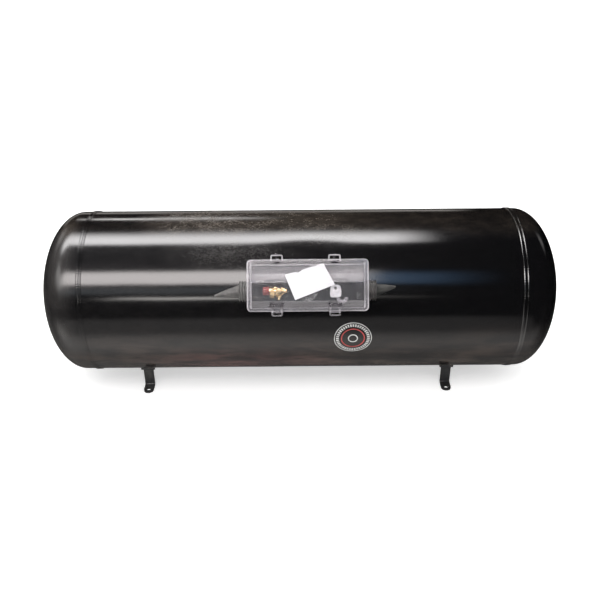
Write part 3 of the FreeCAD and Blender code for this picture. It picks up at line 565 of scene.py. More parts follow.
def carried(path, section, side):
    """A bar: an outline carried along a flat path whose plane is square to the side axis,
    and closed to a point at both ends."""
    path = np.asarray(path, float)
    ahead = np.gradient(path, axis=0)
    ahead = ahead / np.linalg.norm(ahead, axis=1, keepdims=True)
    normal = np.cross(side, ahead)
    normal = normal / np.linalg.norm(normal, axis=1, keepdims=True)
    points = (path[:, None] + section[None, :, :1] * normal[:, None]
              + section[None, :, 1:] * np.asarray(side, float))
    ends = np.repeat(path[[0, -1], None], len(section), axis=1)
    return surface(np.concatenate([ends[:1], points, ends[1:]]), close_columns=True)


def turned(place, axis, along, radius, count=48):
    """A turned shape: distances along an axis and the radius at each, a number or one for
    every angle."""
    axis = np.asarray(axis, float)
    first = np.cross(axis, OUTWARD if abs(axis[2]) < 0.5 else ALONG)
    second = np.cross(axis, first)
    turn = np.linspace(0, tau, count, endpoint=False)
    along = np.asarray(along, float)[:, None]
    radius = np.asarray(radius, float)
    radius = radius[:, None] if radius.ndim == 1 else radius
    points = (np.asarray(place, float) + along[..., None] * axis
              + (radius * np.cos(turn))[..., None] * first
              + (radius * np.sin(turn))[..., None] * second)
    return surface(points, close_columns=True)


def rod(start, end, radius):
    """A straight round bar with slightly eased ends."""
    start = np.asarray(start, float)
    span = np.asarray(end, float) - start
    length = np.linalg.norm(span)
    ease = min(0.3, radius / 3)
    along = [0, 0, ease, length - ease, length, length]
    return turned(start, span / length, along,
                  [0, radius - ease, radius, radius, radius - ease, 0], 24)


# ------------------------------------------------------------------ lid of the valve box

RIM_HALF_LONG = 108.5
RIM_HALF_WIDE = 46.5
RIM_CORNER = 8.0
LID_LOW = 205.0
LID_THICK = 2.5
ROOF_TOP = 225.0
ROOF_HALF_LONG = 100.0
ROOF_END_SLOPE = 13
ROOF_FOOT_HIGH = 39.0
ROOF_CREASE_HIGH = 6.7
ROOF_FOOT_LOW = -41.5
ROOF_CREASE_LOW = -28.4
# Where a painted bright line crosses the upper slope, standing for the tank's highlight band seen
# through the lid.
BAND_HIGHLIGHT_LINE = 19.8
CLIP_PLACES = {"left": -55.0, "right": 48.0}
CLIP_HALF = 11.0
SLOT_HALF = 5.5
SLOT_V = 40.3
LOOP_FOOT_V = 43.5
LOOP_FOOT_W = 206.2
HINGE_V = 53.8
HINGE_W = 203.0
PIVOT_V = -35.0
PIVOT_W = 223.0
FINGER_V = -53.6


def rim_depth(u, v):
    """How far a place lies inside the rim's rounded rectangle."""
    over_u = np.abs(u) - (RIM_HALF_LONG - RIM_CORNER)
    over_v = np.abs(v) - (RIM_HALF_WIDE - RIM_CORNER)
    outside = np.hypot(np.maximum(over_u, 0), np.maximum(over_v, 0))
    return RIM_CORNER - outside - np.minimum(np.maximum(over_u, over_v), 0)


def rolled_edge(depth, radius):
    """How far a face falls away towards an edge rounded by a radius."""
    short = radius - np.clip(depth, 0, radius)
    return radius - np.sqrt(radius ** 2 - short ** 2)


def roof_height(u, v, inside, blend):
    """The roof: the least of an upper slope, a flat top, a lower slope and two steep ends,
    each moved inwards by the wall for the inside."""
    slope_high = (ROOF_TOP - LID_LOW) / (ROOF_FOOT_HIGH - ROOF_CREASE_HIGH)
    slope_low = (ROOF_TOP - LID_LOW) / (ROOF_CREASE_LOW - ROOF_FOOT_LOW)
    high = LID_LOW + (ROOF_FOOT_HIGH - v) * slope_high - inside * np.hypot(1, slope_high)
    low = LID_LOW + (v - ROOF_FOOT_LOW) * slope_low - inside * np.hypot(1, slope_low)
    ends = LID_LOW + LID_THICK + (ROOF_HALF_LONG - inside - np.abs(u)) * ROOF_END_SLOPE
    return soft_least(blend, high, low, ends, np.full_like(high + ends, ROOF_TOP - inside))


def lid_moulding():
    """The lid's shell: one sheet over a grid of the rim's rounded rectangle for the outside and
    one for the inside, whose heights come from the roof or the rim, whichever is higher."""
    bends = [ROOF_CREASE_HIGH, ROOF_CREASE_LOW, 35.0, 38.4, 42.2, -39.9, -38.3]
    rows = clustered(-RIM_HALF_WIDE, RIM_HALF_WIDE, 62, bends + [-RIM_HALF_WIDE, RIM_HALF_WIDE])
    rows = np.concatenate([rows[:1], rows, rows[-1:]])
    slots = [middle + SLOT_HALF * way for middle in CLIP_PLACES.values() for way in (-1, 1)]
    share = clustered(-RIM_HALF_LONG, RIM_HALF_LONG, 56,
                      [-RIM_HALF_LONG, RIM_HALF_LONG, -99.2, 99.2, -97, 97] + slots) / RIM_HALF_LONG
    over = np.maximum(np.abs(rows) - (RIM_HALF_WIDE - RIM_CORNER), 0)
    half = RIM_HALF_LONG - RIM_CORNER + np.sqrt(np.maximum(RIM_CORNER ** 2 - over ** 2, 0))
    u = half[:, None] * share[None, :]
    v = np.broadcast_to(rows[:, None], u.shape)
    depth = rim_depth(u, v)
    outer = -soft_least(0.3, -roof_height(u, v, 0.0, 0.35), np.full_like(u, -LID_LOW - LID_THICK))
    outer = outer - rolled_edge(depth, 1.1)
    inner = np.maximum(roof_height(u, v, LID_THICK, 0.3), LID_LOW) + rolled_edge(depth, 0.5)
    for row in (0, -1):
        outer[row] = inner[row] = (outer[row] + inner[row]) / 2
    top = np.stack([u, v, outer], axis=-1)
    bottom = np.stack([u, v, inner], axis=-1)[:, ::-1]
    return surface(np.concatenate([top, bottom], axis=1), close_columns=True)


def lid_milk_and_sheen(points):
    """How cloudy the lid is, with painted highlights and painted reflections carried as extra
    cloudiness: painted highlights along the rim's rolled edge and round the roof's foot, some over
    both slopes that is partly real haze and partly a painted reflection of the lights, a painted
    bright line across the upper slope for the tank's highlight band seen through it, a thin painted
    highlight along each crease, a little over the rim, and none in the hinge loops' slots."""
    u, v = np.moveaxis(points.reshape(-1, 3)[:, :2], -1, 0)
    on_roof = np.abs(u) < ROOF_HALF_LONG - 1
    depth = rim_depth(u, v)
    # Painted highlights along the rim's rolled edge, brighter at its ends, and round the roof's foot.
    edge = (0.28 + 0.16 * (np.abs(u) > 103)) * np.exp(-((depth - 0.6) / 1.1) ** 4)
    foot_end = 1.9 * np.exp(-(np.abs(u) - ROOF_HALF_LONG - 0.2) ** 4) * (np.abs(v) < 41)
    foot_side = 0.2 * np.exp(-((v - 35.6) / 0.9) ** 4) + np.exp(-((v + 40.4) / 0.9) ** 4)
    foot = 0.20 * np.maximum(foot_end, foot_side * (np.abs(u) < ROOF_HALF_LONG + 1))
    # Over the upper slope: haze that is partly a painted reflection of the light above, less above the
    # line, plus the painted bright line across it.
    slope = (0.15 - 0.035 * np.clip(v - 19.5, 0, 1)) * np.clip((v - 6.0) / 1.2, 0, 1)
    slope = slope * np.clip((40 - v) / 2, 0, 1) + 0.09 * np.exp(-((v - BAND_HIGHLIGHT_LINE) / 0.7) ** 4)
    low_slope = 0.065 * np.clip((-28.0 - v) / 1.2, 0, 1)
    # A painted highlight along each crease.
    crease = 0.10 * (np.exp(-((v - ROOF_CREASE_HIGH) / 0.8) ** 2)
                     + np.exp(-((v - ROOF_CREASE_LOW) / 0.8) ** 2))
    rim = 0.05 * (depth < RIM_CORNER)
    milk_and_sheen = np.maximum.reduce([edge, foot, slope * on_roof, low_slope * on_roof, rim])
    milk_and_sheen = milk_and_sheen + crease * on_roof
    for middle in CLIP_PLACES.values():
        slot = np.exp(-((u - middle) / SLOT_HALF) ** 8 - ((v - SLOT_V) / 1.9) ** 8)
        milk_and_sheen = milk_and_sheen * (1 - slot) - 0.25 * slot
    return milk_and_sheen


def hinge_loop(middle):
    """A loop on the lid's upper edge: a round bar carried out, along and back."""
    bar = 2.4
    reach = CLIP_HALF - bar / 2
    corners = [(middle - reach, LOOP_FOOT_V, LOOP_FOOT_W), (middle - reach, HINGE_V, HINGE_W),
               (middle + reach, HINGE_V, HINGE_W), (middle + reach, LOOP_FOOT_V, LOOP_FOOT_W)]
    plane = np.cross(ALONG, np.array([0, HINGE_V - LOOP_FOOT_V, HINGE_W - LOOP_FOOT_W]))
    return carried(rounded_path(corners, bar), bar_section(bar, bar, 2.4),
                   plane / np.linalg.norm(plane))


def latch_ear(at):
    """An ear on the lower slope: a bar with a round end that carries the latch's pivot."""
    path = rounded_path([(at, PIVOT_V + 2.0, PIVOT_W - 5.0), (at, PIVOT_V + 0.6, PIVOT_W - 2.5),
                         (at, PIVOT_V - 0.6, PIVOT_W + 1.6)], 1.5)
    return carried(path, bar_section(2.4, 5.0, 3.0), ALONG)


def lid_fittings():
    """What stands on the lid: two hinge loops, and two latch pivots, each between two ears."""
    pieces = []
    for middle in CLIP_PLACES.values():
        pieces.append(hinge_loop(middle))
        pieces.append(rod((middle - CLIP_HALF + 0.4, PIVOT_V, PIVOT_W),
                          (middle + CLIP_HALF - 0.4, PIVOT_V, PIVOT_W), 1.3))
        for side in (-1, 1):
            pieces.append(latch_ear(middle + side * (CLIP_HALF + 0.75)))
    return joined(*pieces)


def latch(middle):
    """A clip: two rails bent down the slope and over the rim, a finger loop, a bar across the
    knee and one across the tip, and an eye round the pivot."""
    half = CLIP_HALF - 0.8
    bend = [(PIVOT_V - 1.6, PIVOT_W - 1.3), (-47.0, 210.6), (-48.4, 207.6), (-48.4, 198.0)]
    pieces = []
    for side in (-1, 1):
        at = middle + side * (half - 1.7)
        rail = rounded_path([(at, v, w) for v, w in bend], 1.3)
        pieces.append(carried(rail, bar_section(3.4, 2.2), ALONG))
    reach = half - 1.5
    loop = rounded_path([(middle - reach, -48.6, 204.6), (middle - reach, FINGER_V, 204.0),
                         (middle + reach, FINGER_V, 204.0), (middle + reach, -48.6, 204.6)], 2.2)
    pieces.append(carried(loop, bar_section(2.2, 2.4, 4), OUTWARD))
    for v, w, wide in ((-46.0, 211.4, 3.0), (-48.4, 200.2, 4.6)):
        cross = [(middle - half + 0.5, v, w), (middle, v, w), (middle + half - 0.5, v, w)]
        side = UPWARD * 0.5 + OUTWARD * 0.866 if w > 205 else OUTWARD
        pieces.append(carried(cross, bar_section(wide, 2.0), side))
    pieces.append(turned((middle, PIVOT_V, PIVOT_W), ALONG, [-half, -half, half, half, -half],
                         [1.65, 2.9, 2.9, 1.65, 1.65]))
    return joined(*pieces)


LID = lid_moulding()
make_piece("lid_moulding", box_place(LID), CLEAR_PLASTIC, "lid", ["box_lid"],
           milk_and_sheen=lid_milk_and_sheen(LID[0]))
FITTINGS = lid_fittings()
make_piece("lid_fittings", box_place(FITTINGS), FITTING_PLASTIC, "lid",
           milk_and_sheen=np.where(FITTINGS[0].reshape(-1, 3)[:, 1] > 0, 0.36, -0.10))
for side, middle in CLIP_PLACES.items():
    clip = latch(middle)
    cloudiness_and_sheen = np.where(clip[0].reshape(-1, 3)[:, 2] < 212.5, 0.17, -0.10)
    make_piece("latch_frame_" + side, box_place(clip), LATCH_PLASTIC, "clip_" + side,
               ["latch_" + side], milk_and_sheen=cloudiness_and_sheen)

# ------------------------------------------------------------------ collars and plugs

COLLAR_LONG = 18.5
COLLAR_TUBE = 16.5
COLLAR_BORE = 12.5
RIB_PLACES = (8.3, 12.9, 17.4)
RIB_RISE = 2.5
PORT_REACH = 105
PORT_V = -9.3
PORT_W = 182
PORT = np.array([0, PORT_V, PORT_W])
PLUG_STUB = 12.4
PLUG_ROOT = 11.8
PLUG_TIP = 2.5
# Each plug's length and how far its tip leans up round the shell.
PLUG_SHAPES = {"left": (46.0, -8.0), "right": (36.0, 6.0)}


def collar(side):
    """A hose collar: a tube whose outside swells into three rounded ribs, each a bell curve."""
    along = np.linspace(0, COLLAR_LONG, 90)
    ribs = sum(np.exp(-((along - place) / 0.95) ** 4) for place in RIB_PLACES)
    outer = COLLAR_TUBE + RIB_RISE * np.minimum(ribs, 1)
    along = np.concatenate([along, [COLLAR_LONG, 0, 0]])
    radius = np.concatenate([outer, [COLLAR_BORE, COLLAR_BORE, COLLAR_TUBE]])
    return turned(PORT + side * PORT_REACH * ALONG, side * ALONG, along, radius, 72)


def plug(side, long, rise):
    """A rubber plug: a stub in the collar and a skew cone with a round tip, whose middle line
    leans by a rise over its length."""
    straight = long - PLUG_TIP
    cone = np.linspace(0, straight, 40)
    taper = PLUG_ROOT + (PLUG_TIP - PLUG_ROOT) * cone / straight
    swell = 0.35 * np.sin(pi * cone / straight)
    cap = np.linspace(0, pi / 2, 10)[1:]
    along = np.concatenate([[0.2, 0.2, COLLAR_LONG], COLLAR_LONG + cone,
                            COLLAR_LONG + straight + PLUG_TIP * np.sin(cap)])
    radius = np.concatenate([[0, PLUG_STUB, PLUG_STUB], taper + swell, PLUG_TIP * np.cos(cap)])
    points, faces = turned(PORT + side * PORT_REACH * ALONG, side * ALONG, along,
                           np.maximum(radius, 0), 56)
    points[..., 1] += (np.clip((along - COLLAR_LONG) / long, 0, 1) * rise)[:, None]
    return points, faces


# The right collar and plug take the copies with painted shade.
for name, side, plastic, rubber in (("left", -1, GREY_PLASTIC, PLUG_RUBBER),
                                    ("right", 1, PAINTED_SHADE_COLLAR, PAINTED_SHADE_RUBBER)):
    make_piece("collar_ribbed_" + name, box_place(collar(side)), plastic, "tank",
               ["hose_collar_" + name])
    make_piece("plug_cone_" + name, box_place(plug(side, *PLUG_SHAPES[name])), rubber, "tank",
               ["hose_plug_" + name])

# ------------------------------------------------------------------ valves and leaflet

PLATE_TOP = 168
FILLER_U = -57
OUTLET_U = 50.4


def hexagon(corner, count=72):
    """The distance from a hexagon's middle to its side at each of some angles."""
    turn = np.linspace(0, tau, count, endpoint=False)
    return corner * cos(pi / 6) / np.cos((turn % (pi / 3)) - pi / 6)


def filler_body():
    """The filler valve: a hexagon held in by chamfers and a groove, a stepped nozzle on one
    end, a bleed screw on its lower side and a stem down to the plate."""
    profile = np.array([(-12, 0), (-12, 10.2), (-10.6, 12.5), (-3.4, 12.5), (-3.0, 9.0), (0.2, 9.0),
                        (0.6, 12.5), (8.6, 12.5), (10, 10.8), (10.4, 8.0), (12, 8.0), (12.4, 5.6),
                        (15, 5.6), (15.4, 3.5), (19.4, 3.5), (20, 3.0), (20, 0)])
    body = turned((FILLER_U, PORT_V, PORT_W), ALONG, profile[:, 0],
                  np.minimum(hexagon(12.5)[None, :], profile[:, 1:]), 72)
    stem = turned((FILLER_U, PORT_V, PLATE_TOP), OUTWARD, [0, 0, 2.6, 3.0, 14],
                  [0, 8.6, 8.6, 7.5, 7.5], 36)
    screw_limit = np.array([0, 4.6, 4.6, 4.0, 0])
    screw = turned((-51.5, -18.0, 184), -UPWARD, [0, 0, 6.4, 7.2, 7.2],
                   np.minimum(hexagon(4.6, 36)[None, :], screw_limit[:, None]), 36)
    return joined(body, stem, screw)


def filler_cap():
    """The filler valve's cap: a drum with a finely ribbed grip and eased edges."""
    turn = np.linspace(0, tau, 96, endpoint=False)
    grip = 1 + 0.025 * np.cos(24 * turn)
    along = np.array([0, 0, 0.8, 2.2, 2.6, 10.4, 11.6, 12, 12])
    reach = np.array([0, 6.6, 7.4, 7.4, 7.25, 7.25, 6.7, 5.6, 0])
    ribbed = np.array([0, 0, 0, 0, 1, 1, 1, 0, 0])[:, None]
    radius = reach[:, None] * (1 + ribbed * (grip[None, :] - 1))
    return turned((FILLER_U - 12, PORT_V, PORT_W), -ALONG, along, radius, 96)


def level_gauge():
    """The level gauge: a flange with six screw heads, a neck and a domed glass."""
    along = [0, 0, 3.5, 4, 4.2, 11, 11.6, 13.2, 14, 14]
    radius = [0, 19, 19, 18.4, 12, 12, 11.4, 11, 9.2, 0]
    pieces = [turned((0, PORT_V, PLATE_TOP), OUTWARD, along, radius, 60)]
    screw_ring = 15.4
    for turn in np.arange(6) * pi / 3 + 0.3:
        place = (screw_ring * cos(turn), PORT_V + screw_ring * sin(turn), PLATE_TOP + 3.5)
        pieces.append(turned(place, OUTWARD, [0, 0, 1.9, 2.3, 2.3], [0, 2.4, 2.4, 2.0, 0], 20))
    return joined(*pieces)


def outlet_block():
    """The outlet valve: a slab round a hole, its outline a superellipse drawn in towards a
    rounded top."""
    middle_v, half_wide, half_high, hole = -10.3, 10.3, 11.4, 2.9
    turn = np.linspace(0, tau, 72, endpoint=False)
    v = middle_v + np.sign(np.sin(turn)) * np.abs(np.sin(turn)) ** 0.45 * half_high
    taper = 1 - 0.24 * np.clip((v - middle_v) / half_high, 0, 1) ** 1.5
    u = np.sign(np.cos(turn)) * np.abs(np.cos(turn)) ** 0.38 * half_wide * taper
    hole_u = hole * np.cos(turn)
    hole_v = -5 + hole * np.sin(turn)
    level = np.array([190, 190, 188.6, 179.2, 178, 178, 190])
    edge = np.array([0, 0.88, 1.0, 1.0, 0.9, 0, 0])[:, None]
    points = np.stack([OUTLET_U + hole_u + (u - hole_u) * edge, hole_v + (v - hole_v) * edge,
                       np.broadcast_to(level[:, None], (len(level), len(turn)))], axis=-1)
    return surface(points, close_columns=True)


def vent_tube():
    """The vent elbow: a clear tube whose wall is carried round half a circle, out of the
    outlet's lower face and up again, open at its far end."""
    middle_u, middle_v, bend_radius = 62.5, -21.8, 7.5
    bend = pi + np.linspace(0, pi, 40)[:, None]
    turn = np.linspace(0, tau, 28, endpoint=False)[None, :]
    walls = []
    for radius in (3.5, 2.5):
        reach = bend_radius + radius * np.cos(turn)
        walls.append(np.stack(np.broadcast_arrays(
            middle_u + reach * np.cos(bend), middle_v + reach * np.sin(bend),
            PORT_W + radius * np.sin(turn)), axis=-1))
    return surface(np.concatenate([walls[0], walls[1][::-1]]), close_rows=True, close_columns=True)


def leaflet():
    """The folded leaflet: a sheet laid evenly between four corners, with a bell-shaped notch in
    its upper edge, a fold near its middle and slight waves, closed by a second sheet just below."""
    level, thick = 199.7, 0.35
    s, t = np.meshgrid(np.linspace(0, 1, 60), np.linspace(0, 1, 44), indexing="ij")
    corners = np.array([[-22.6, -26.1], [48.6, 1.2], [28.2, 39.2], [-40.9, 19.4]])
    shares = np.stack([(1 - s) * (1 - t), s * (1 - t), s * t, (1 - s) * t], axis=-1)
    flat = shares @ corners
    flat[..., 1] -= np.exp(-((s - 0.36) / 0.07) ** 2) * t ** 6 * 3.2
    fold = 0.4 * np.exp(-((t - 0.45) / 0.03) ** 2)
    lift = np.abs(s - 0.5) + 0.25 * np.sin(9 * s + 2) * np.sin(5 * t + 1) + fold
    top = np.concatenate([flat, (level + lift)[..., None]], axis=-1)
    bottom = np.concatenate([flat, (level - thick + lift)[..., None]], axis=-1)[:, ::-1]
    ring = np.concatenate([top, bottom], axis=1)
    middle = (ring[[0, -1]] + ring[[0, -1]][:, ::-1]) / 2
    ring = np.concatenate([middle[:1], ring, middle[1:]])
    return surface(ring, close_columns=True)


for name, shape, finish, slot, node, cloudiness_and_sheen in (
        ("filler_body", filler_body(), BRASS, "brass", "filler_valve", None),
        ("filler_cap_ribbed", filler_cap(), CAP_RED, "red_cap", "filler_cap", None),
        ("gauge_body", level_gauge(), DULL_METAL, "brass", "level_gauge", None),
        ("outlet_body", outlet_block(), PALE_METAL, "pale_fitting", "outlet_valve", None),
        ("vent_tube", vent_tube(), FITTING_PLASTIC, "clear_plastic", "vent_elbow", 0.20),
        ("leaflet_sheet", leaflet(), LEAFLET_PAPER, "paper", "leaflet", None)):
    make_piece(name, box_place(shape), finish, "tank", [node], milk_and_sheen=cloudiness_and_sheen)

for name in ("filler_body", "gauge_body", "outlet_body", "lid_moulding", "latch_frame_left",
             "latch_frame_right", "filler_cap_ribbed", "leaflet_sheet"):
    bpy.data.objects[name].data.set_sharp_from_angle(angle=CRISP_EDGE)

# ------------------------------------------------------------------ emblem

EMBLEM_X = 106 * MM
EMBLEM_ANGLE = radians(-7.7)
PRINT_SUNK = -0.05 * MM
PRINT_RISE = 0.12 * MM


def emblem_patch(inner, outer, start, end, steps):
    """A piece of a ring, in millimetres round the emblem's middle, laid on the shell: two round
    edges joined by a slightly raised top and a hidden underside."""
    turn = np.linspace(start, end, steps)[None, :]
    reach = np.concatenate([[inner], np.linspace(inner, outer, 5), [outer]])[:, None] * MM
    x = EMBLEM_X + reach * np.cos(turn)
    angle = EMBLEM_ANGLE + reach * np.sin(turn) / RADIUS
    rise = np.array([PRINT_SUNK] + [PRINT_RISE] * 5 + [PRINT_SUNK])[:, None]
    points = round_tank(x, angle, RADIUS + skin_push(x, angle) + rise)
    if end - start == tau:
        return surface(points[:, :-1], close_rows=True, close_columns=True)
    middle = points.mean(axis=0, keepdims=True)[:, [0, -1]]
    ends = np.repeat(middle, len(points), axis=0)
    return surface(np.concatenate([ends[:, :1], points, ends[:, 1:]], axis=1), close_rows=True)


def emblem_ticks(inner, outer, count, half):
    """Even ticks round a ring, each the same small piece of it."""
    return joined(*[emblem_patch(inner, outer, turn - half, turn + half, 4)
                    for turn in np.arange(count) * tau / count])


EMBLEM_LINES = joined(emblem_patch(34.2, 35.5, 0, tau, 121), emblem_patch(7.5, 9.5, 0, tau, 61),
                      emblem_ticks(26.5, 32.0, 40, 0.045))
make_piece("emblem_rings", EMBLEM_LINES, EMBLEM_WHITE, "tank")
make_piece("emblem_red_ring", emblem_patch(20.5, 22.5, 0, tau, 101), EMBLEM_RED, "tank")

# ------------------------------------------------------------------ finishes of the CAD nodes

NODE_FINISHES = {
    "weld_long_seam": BLACK_PAINT, "valve_plate": BLACK_PAINT, "box_base": TRAY_PLASTIC,
    "box_lid": CLEAR_PLASTIC, "latch_left": CLEAR_PLASTIC, "latch_right": CLEAR_PLASTIC,
    "hose_collar_left": GREY_PLASTIC, "hose_collar_right": GREY_PLASTIC,
    "hose_plug_left": PLUG_RUBBER, "hose_plug_right": PLUG_RUBBER, "filler_valve": BRASS,
    "filler_cap": CAP_RED, "level_gauge": BRASS, "outlet_valve": PALE_METAL,
    "outlet_stem": DULL_METAL, "vent_elbow": CLEAR_PLASTIC, "leaflet": LEAFLET_PAPER,
}


def finish_of(name):
    """The finish of one of the frame's nodes: foot paint on all of a foot, black paint unless
    listed."""
    return FOOT_PAINT if name.startswith("foot") else NODE_FINISHES.get(name, BLACK_PAINT)


for name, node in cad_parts.items():
    node.data.materials.clear()
    node.data.materials.append(finish_of(name))

for name in ("box_base", "valve_plate", "foot_front_left", "foot_front_right", "foot_rear_left",
             "foot_rear_right", "outlet_stem"):
    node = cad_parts[name]
    weld = node.modifiers.new("join_corners", "WELD")
    weld.merge_threshold = 0.02 * MM
    ease = node.modifiers.new("ease_edges", "BEVEL")
    ease.width = 0.5 * MM
    ease.segments = 2
    ease.limit_method = "ANGLE"
    ease.angle_limit = radians(40)
    ease.harden_normals = True

# ------------------------------------------------------------------ stage

BOARD_AWAY = 1.25
SIDE_WHITE = (1.0, 0.98, 0.97)


def rectangle(x_range, y_range, height=0.0):
    """The four corners of a level rectangle."""
    return [(x_range[0], y_range[0], height), (x_range[1], y_range[0], height),
            (x_range[1], y_range[1], height), (x_range[0], y_range[1], height)]


def staged_plane(name, corners, material):
    """A four-cornered face of the stage."""
    mesh = bpy.data.meshes.new(name)
    mesh.from_pydata(corners, [], [(0, 1, 2, 3)])
    mesh.materials.append(material)
    plane = bpy.data.objects.new(name, mesh)
    bpy.context.scene.collection.objects.link(plane)
    return plane


def floor_material():
    """A pale matt floor, lit a little from within so that shadows on it stay light."""
    material, _, shader = new_material("pale_floor")
    shader.inputs["Base Color"].default_value = (0.92, 0.92, 0.92, 1)
    shader.inputs["Roughness"].default_value = 0.9
    shader.inputs["Specular IOR Level"].default_value = 0.0
    shader.inputs["Emission Color"].default_value = (1, 1, 1, 1)
    shader.inputs["Emission Strength"].default_value = 0.45
    return material


def glow_material(name, strength, colour, ramps, see_through=False):
    """Light given off by a board: its strength times one smooth ramp for each given axis, from
    0 to 1 unless the ramp gives its own two levels. A see-through board adds its light to what
    is behind it."""
    material = bpy.data.materials.new(name)
    material.use_nodes = True
    tree = material.node_tree
    tree.nodes.clear()
    output = tree.nodes.new("ShaderNodeOutputMaterial")
    glow = tree.nodes.new("ShaderNodeEmission")
    glow.inputs["Color"].default_value = colour + (1,)
    power = strength
    for axis, start, end, *levels in ramps:
        power = product(tree, power, between(tree, axis_of(tree, axis), start, end, *levels))
    feed(tree, glow.inputs["Strength"], power)
    if see_through:
        both = tree.nodes.new("ShaderNodeAddShader")
        tree.links.new(tree.nodes.new("ShaderNodeBsdfTransparent").outputs[0], both.inputs[0])
        tree.links.new(glow.outputs[0], both.inputs[1])
        tree.links.new(both.outputs[0], output.inputs[0])
    else:
        tree.links.new(glow.outputs[0], output.inputs[0])
    return material


def flat_board(name, corners, glow):
    """A glowing board between four corners that only mirrored rays can see."""
    board = staged_plane(name, corners, glow)
    for way in ("camera", "diffuse", "shadow", "transmission", "volume_scatter"):
        setattr(board, "visible_" + way, False)
    return board


def light_board(name, elevation, distance, x_range, y_range, strength, colour, ramps,
                see_through=False):
    """A flat board that stands square to an elevation seen from the tank's axis. Its ramps run
    on its own X, along the tank, and its own Y, across that direction."""
    glow = glow_material(name, strength, colour, ramps, see_through)
    board = flat_board(name, rectangle(x_range, y_range), glow)
    angle = radians(elevation)
    board.location = (0, -distance * cos(angle), AXIS_HEIGHT + distance * sin(angle))
    board.rotation_euler = (pi / 2 - angle, 0, 0)


def back_board(name, x_near, x_far, y, z_range, strength):
    """A glowing board behind the tank and well to one side, fading towards all its edges."""
    low, high = z_range
    fade_up = 0.5
    ramps = [("X", x_near, x_near + 0.4 * (x_far - x_near)), ("X", x_far, 0.6 * x_far),
             ("Z", low, low + fade_up), ("Z", high, high - fade_up)]
    flat_board(name, [(x_near, y, low), (x_far, y, low), (x_far, y, high), (x_near, y, high)],
               glow_material(name, strength, SIDE_WHITE, ramps))


def soft_light(name, elevation, distance, x_range, width, power, colour=(1, 1, 1)):
    """A large soft lamp, level along X, that lights matt faces but isn't mirrored."""
    data = bpy.data.lights.new(name, "AREA")
    data.shape = "RECTANGLE"
    data.size = x_range[1] - x_range[0]
    data.size_y = width
    data.energy = power
    data.color = colour
    light = bpy.data.objects.new(name, data)
    angle = radians(elevation)
    light.location = ((x_range[0] + x_range[1]) / 2, -distance * cos(angle),
                      AXIS_HEIGHT + distance * sin(angle))
    light.rotation_euler = (pi / 2 - angle, 0, 0)
    light.visible_glossy = False
    bpy.context.scene.collection.objects.link(light)


FLOOR = staged_plane("floor", rectangle((-14, 14), (-12, 14)), floor_material())
FLOOR.visible_glossy = False
MIRRORED_GLOW = glow_material(
    "mirrored_floor", 1.2, (1.0, 0.97, 0.94),
    [("Y", -1.35, -0.80, 0.0, 0.4), ("Y", -0.46, -0.29, 1.0, 2.5), ("Y", -0.27, -0.13, 1.0, 0.27),
     ("Y", -0.13, -0.06, 1.0, 0.4), ("X", -1.15, -0.62, 0.04, 1.0), ("X", -0.3, 0.5, 1.0, 0.72),
     ("X", 0.45, 0.85, 1.0, 0.04)])
flat_board("mirrored_floor", rectangle((-4, 1.5), (-1.6, 3), -0.002), MIRRORED_GLOW)

# Each board: name, elevation, distance, its X and Y ranges, strength, colour and ramps.
light_board("overhead_board", 105, BOARD_AWAY, (-2.2, 0.56), (-0.46, 0.52), 15.0, (1.0, 0.985, 0.99),
            [("X", 0.50, 0.29), ("X", -2.1, -1.2), ("Y", 0.26, -0.14), ("Y", -0.36, -0.23)])
light_board("front_board", 43.5, BOARD_AWAY, (-2.2, 0.40), (-0.27, 0.27), 12.0, (1.0, 0.95, 0.935),
            [("X", 0.30, 0.09), ("X", -2.15, -0.8), ("Y", 0.255, 0.12), ("Y", -0.23, -0.12)],
            see_through=True)
light_board("low_line_board", 16.7, BOARD_AWAY, (-0.72, 0.57), (-0.045, 0.045), 10.0, (1.0, 0.97, 0.93),
            [("X", -0.70, -0.50), ("X", 0.55, -0.20), ("X", 0.12, -0.30, 0.35, 1.0),
             ("Y", 0.045, 0.015), ("Y", -0.045, -0.015)])
light_board("low_glow_board", 27, BOARD_AWAY, (-2.2, 0.45), (-0.13, 0.13), 0.95, (0.86, 0.94, 1.0),
            [("X", 0.44, -0.05), ("Y", 0.13, 0.05), ("Y", -0.13, -0.05)])
light_board("rear_line_board", 145, BOARD_AWAY, (-0.90, 0.10), (-0.06, 0.06), 8.0, (1.0, 0.97, 0.95),
            [("X", -0.88, -0.60), ("X", -0.02, -0.30), ("Y", 0.06, 0.02), ("Y", -0.06, -0.02)])
light_board("blue_board", 41, BOARD_AWAY + 0.02, (0.10, 1.30), (-0.30, 0.30), 2.1, (0.33, 0.60, 1.0),
            [("X", 0.12, 0.28), ("X", 0.70, 0.24), ("Y", 0.29, 0.05), ("Y", -0.29, -0.05)])
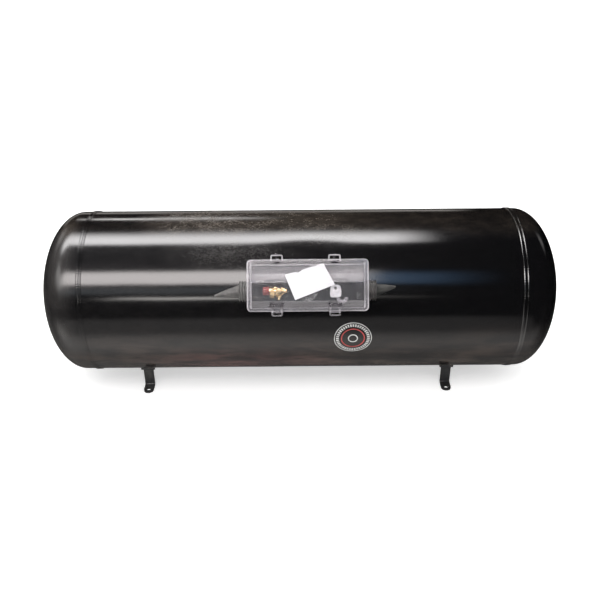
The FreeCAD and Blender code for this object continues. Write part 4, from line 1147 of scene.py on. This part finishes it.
light_board("rear_glow_board", 171, BOARD_AWAY, (-1.3, 0.9), (-0.16, 0.16), 0.65, (1.0, 0.95, 0.90),
            [("X", 0.66, 0.50), ("Y", 0.16, 0.06), ("Y", -0.16, -0.06)])
light_board("room_board", 60, 2.4, (-7.0, 1.2), (-4.0, 2.6), 0.24, (1.0, 0.98, 1.0),
            [("X", 1.1, -1.2), ("Y", -2.2, -0.8)])
flat_board("left_board", [(-2.3, -1.9, 0.1), (-2.3, -0.1, 0.1), (-2.3, -0.1, 1.9), (-2.3, -1.9, 1.9)],
           glow_material("left_board", 3.5, SIDE_WHITE,
                         [("Y", -1.9, -1.5), ("Y", -0.1, -0.4), ("Z", 1.9, 1.5), ("Z", 0.6, 1.0)]))

back_board("back_left_board", -2.0, -5.5, 2.2, (0.9, 2.8), 1.6)
back_board("back_right_board", 3.0, 6.5, 2.2, (1.0, 2.8), 0.9)

soft_light("overhead_light", 100, 1.9, (-1.2, 1.0), 1.2, 24)
soft_light("front_light", 50, 2.2, (-1.3, 0.7), 0.9, 20, (1.0, 0.97, 0.96))

world = bpy.data.worlds.new("studio")
bpy.context.scene.world = world
world.use_nodes = True
backdrop = world.node_tree.nodes["Background"]
backdrop.inputs["Color"].default_value = (1, 1, 1, 1)
backdrop.inputs["Strength"].default_value = 1.0
world.cycles_visibility.glossy = False

bpy.context.scene.view_settings.view_transform = "Standard"

# ------------------------------------------------------------------ camera

CAMERA_DISTANCE = 1.531
CAMERA_ELEVATION = radians(28.9)
AIM_BELOW = radians(0.91)
LEAN = radians(-0.5)

camera_data = bpy.data.cameras.new("camera")
camera_data.sensor_width = 36
camera_data.lens = 44.73
camera = bpy.data.objects.new("camera", camera_data)
camera.location = (TANK_MIDDLE, -CAMERA_DISTANCE * cos(CAMERA_ELEVATION),
                   AXIS_HEIGHT + CAMERA_DISTANCE * sin(CAMERA_ELEVATION))
camera.rotation_mode = "QUATERNION"
look = Euler((pi / 2 - CAMERA_ELEVATION - AIM_BELOW, 0, 0)).to_matrix()
camera.rotation_quaternion = (look @ Matrix.Rotation(LEAN, 3, "Z")).to_quaternion()
bpy.context.scene.collection.objects.link(camera)
bpy.context.scene.camera = camera
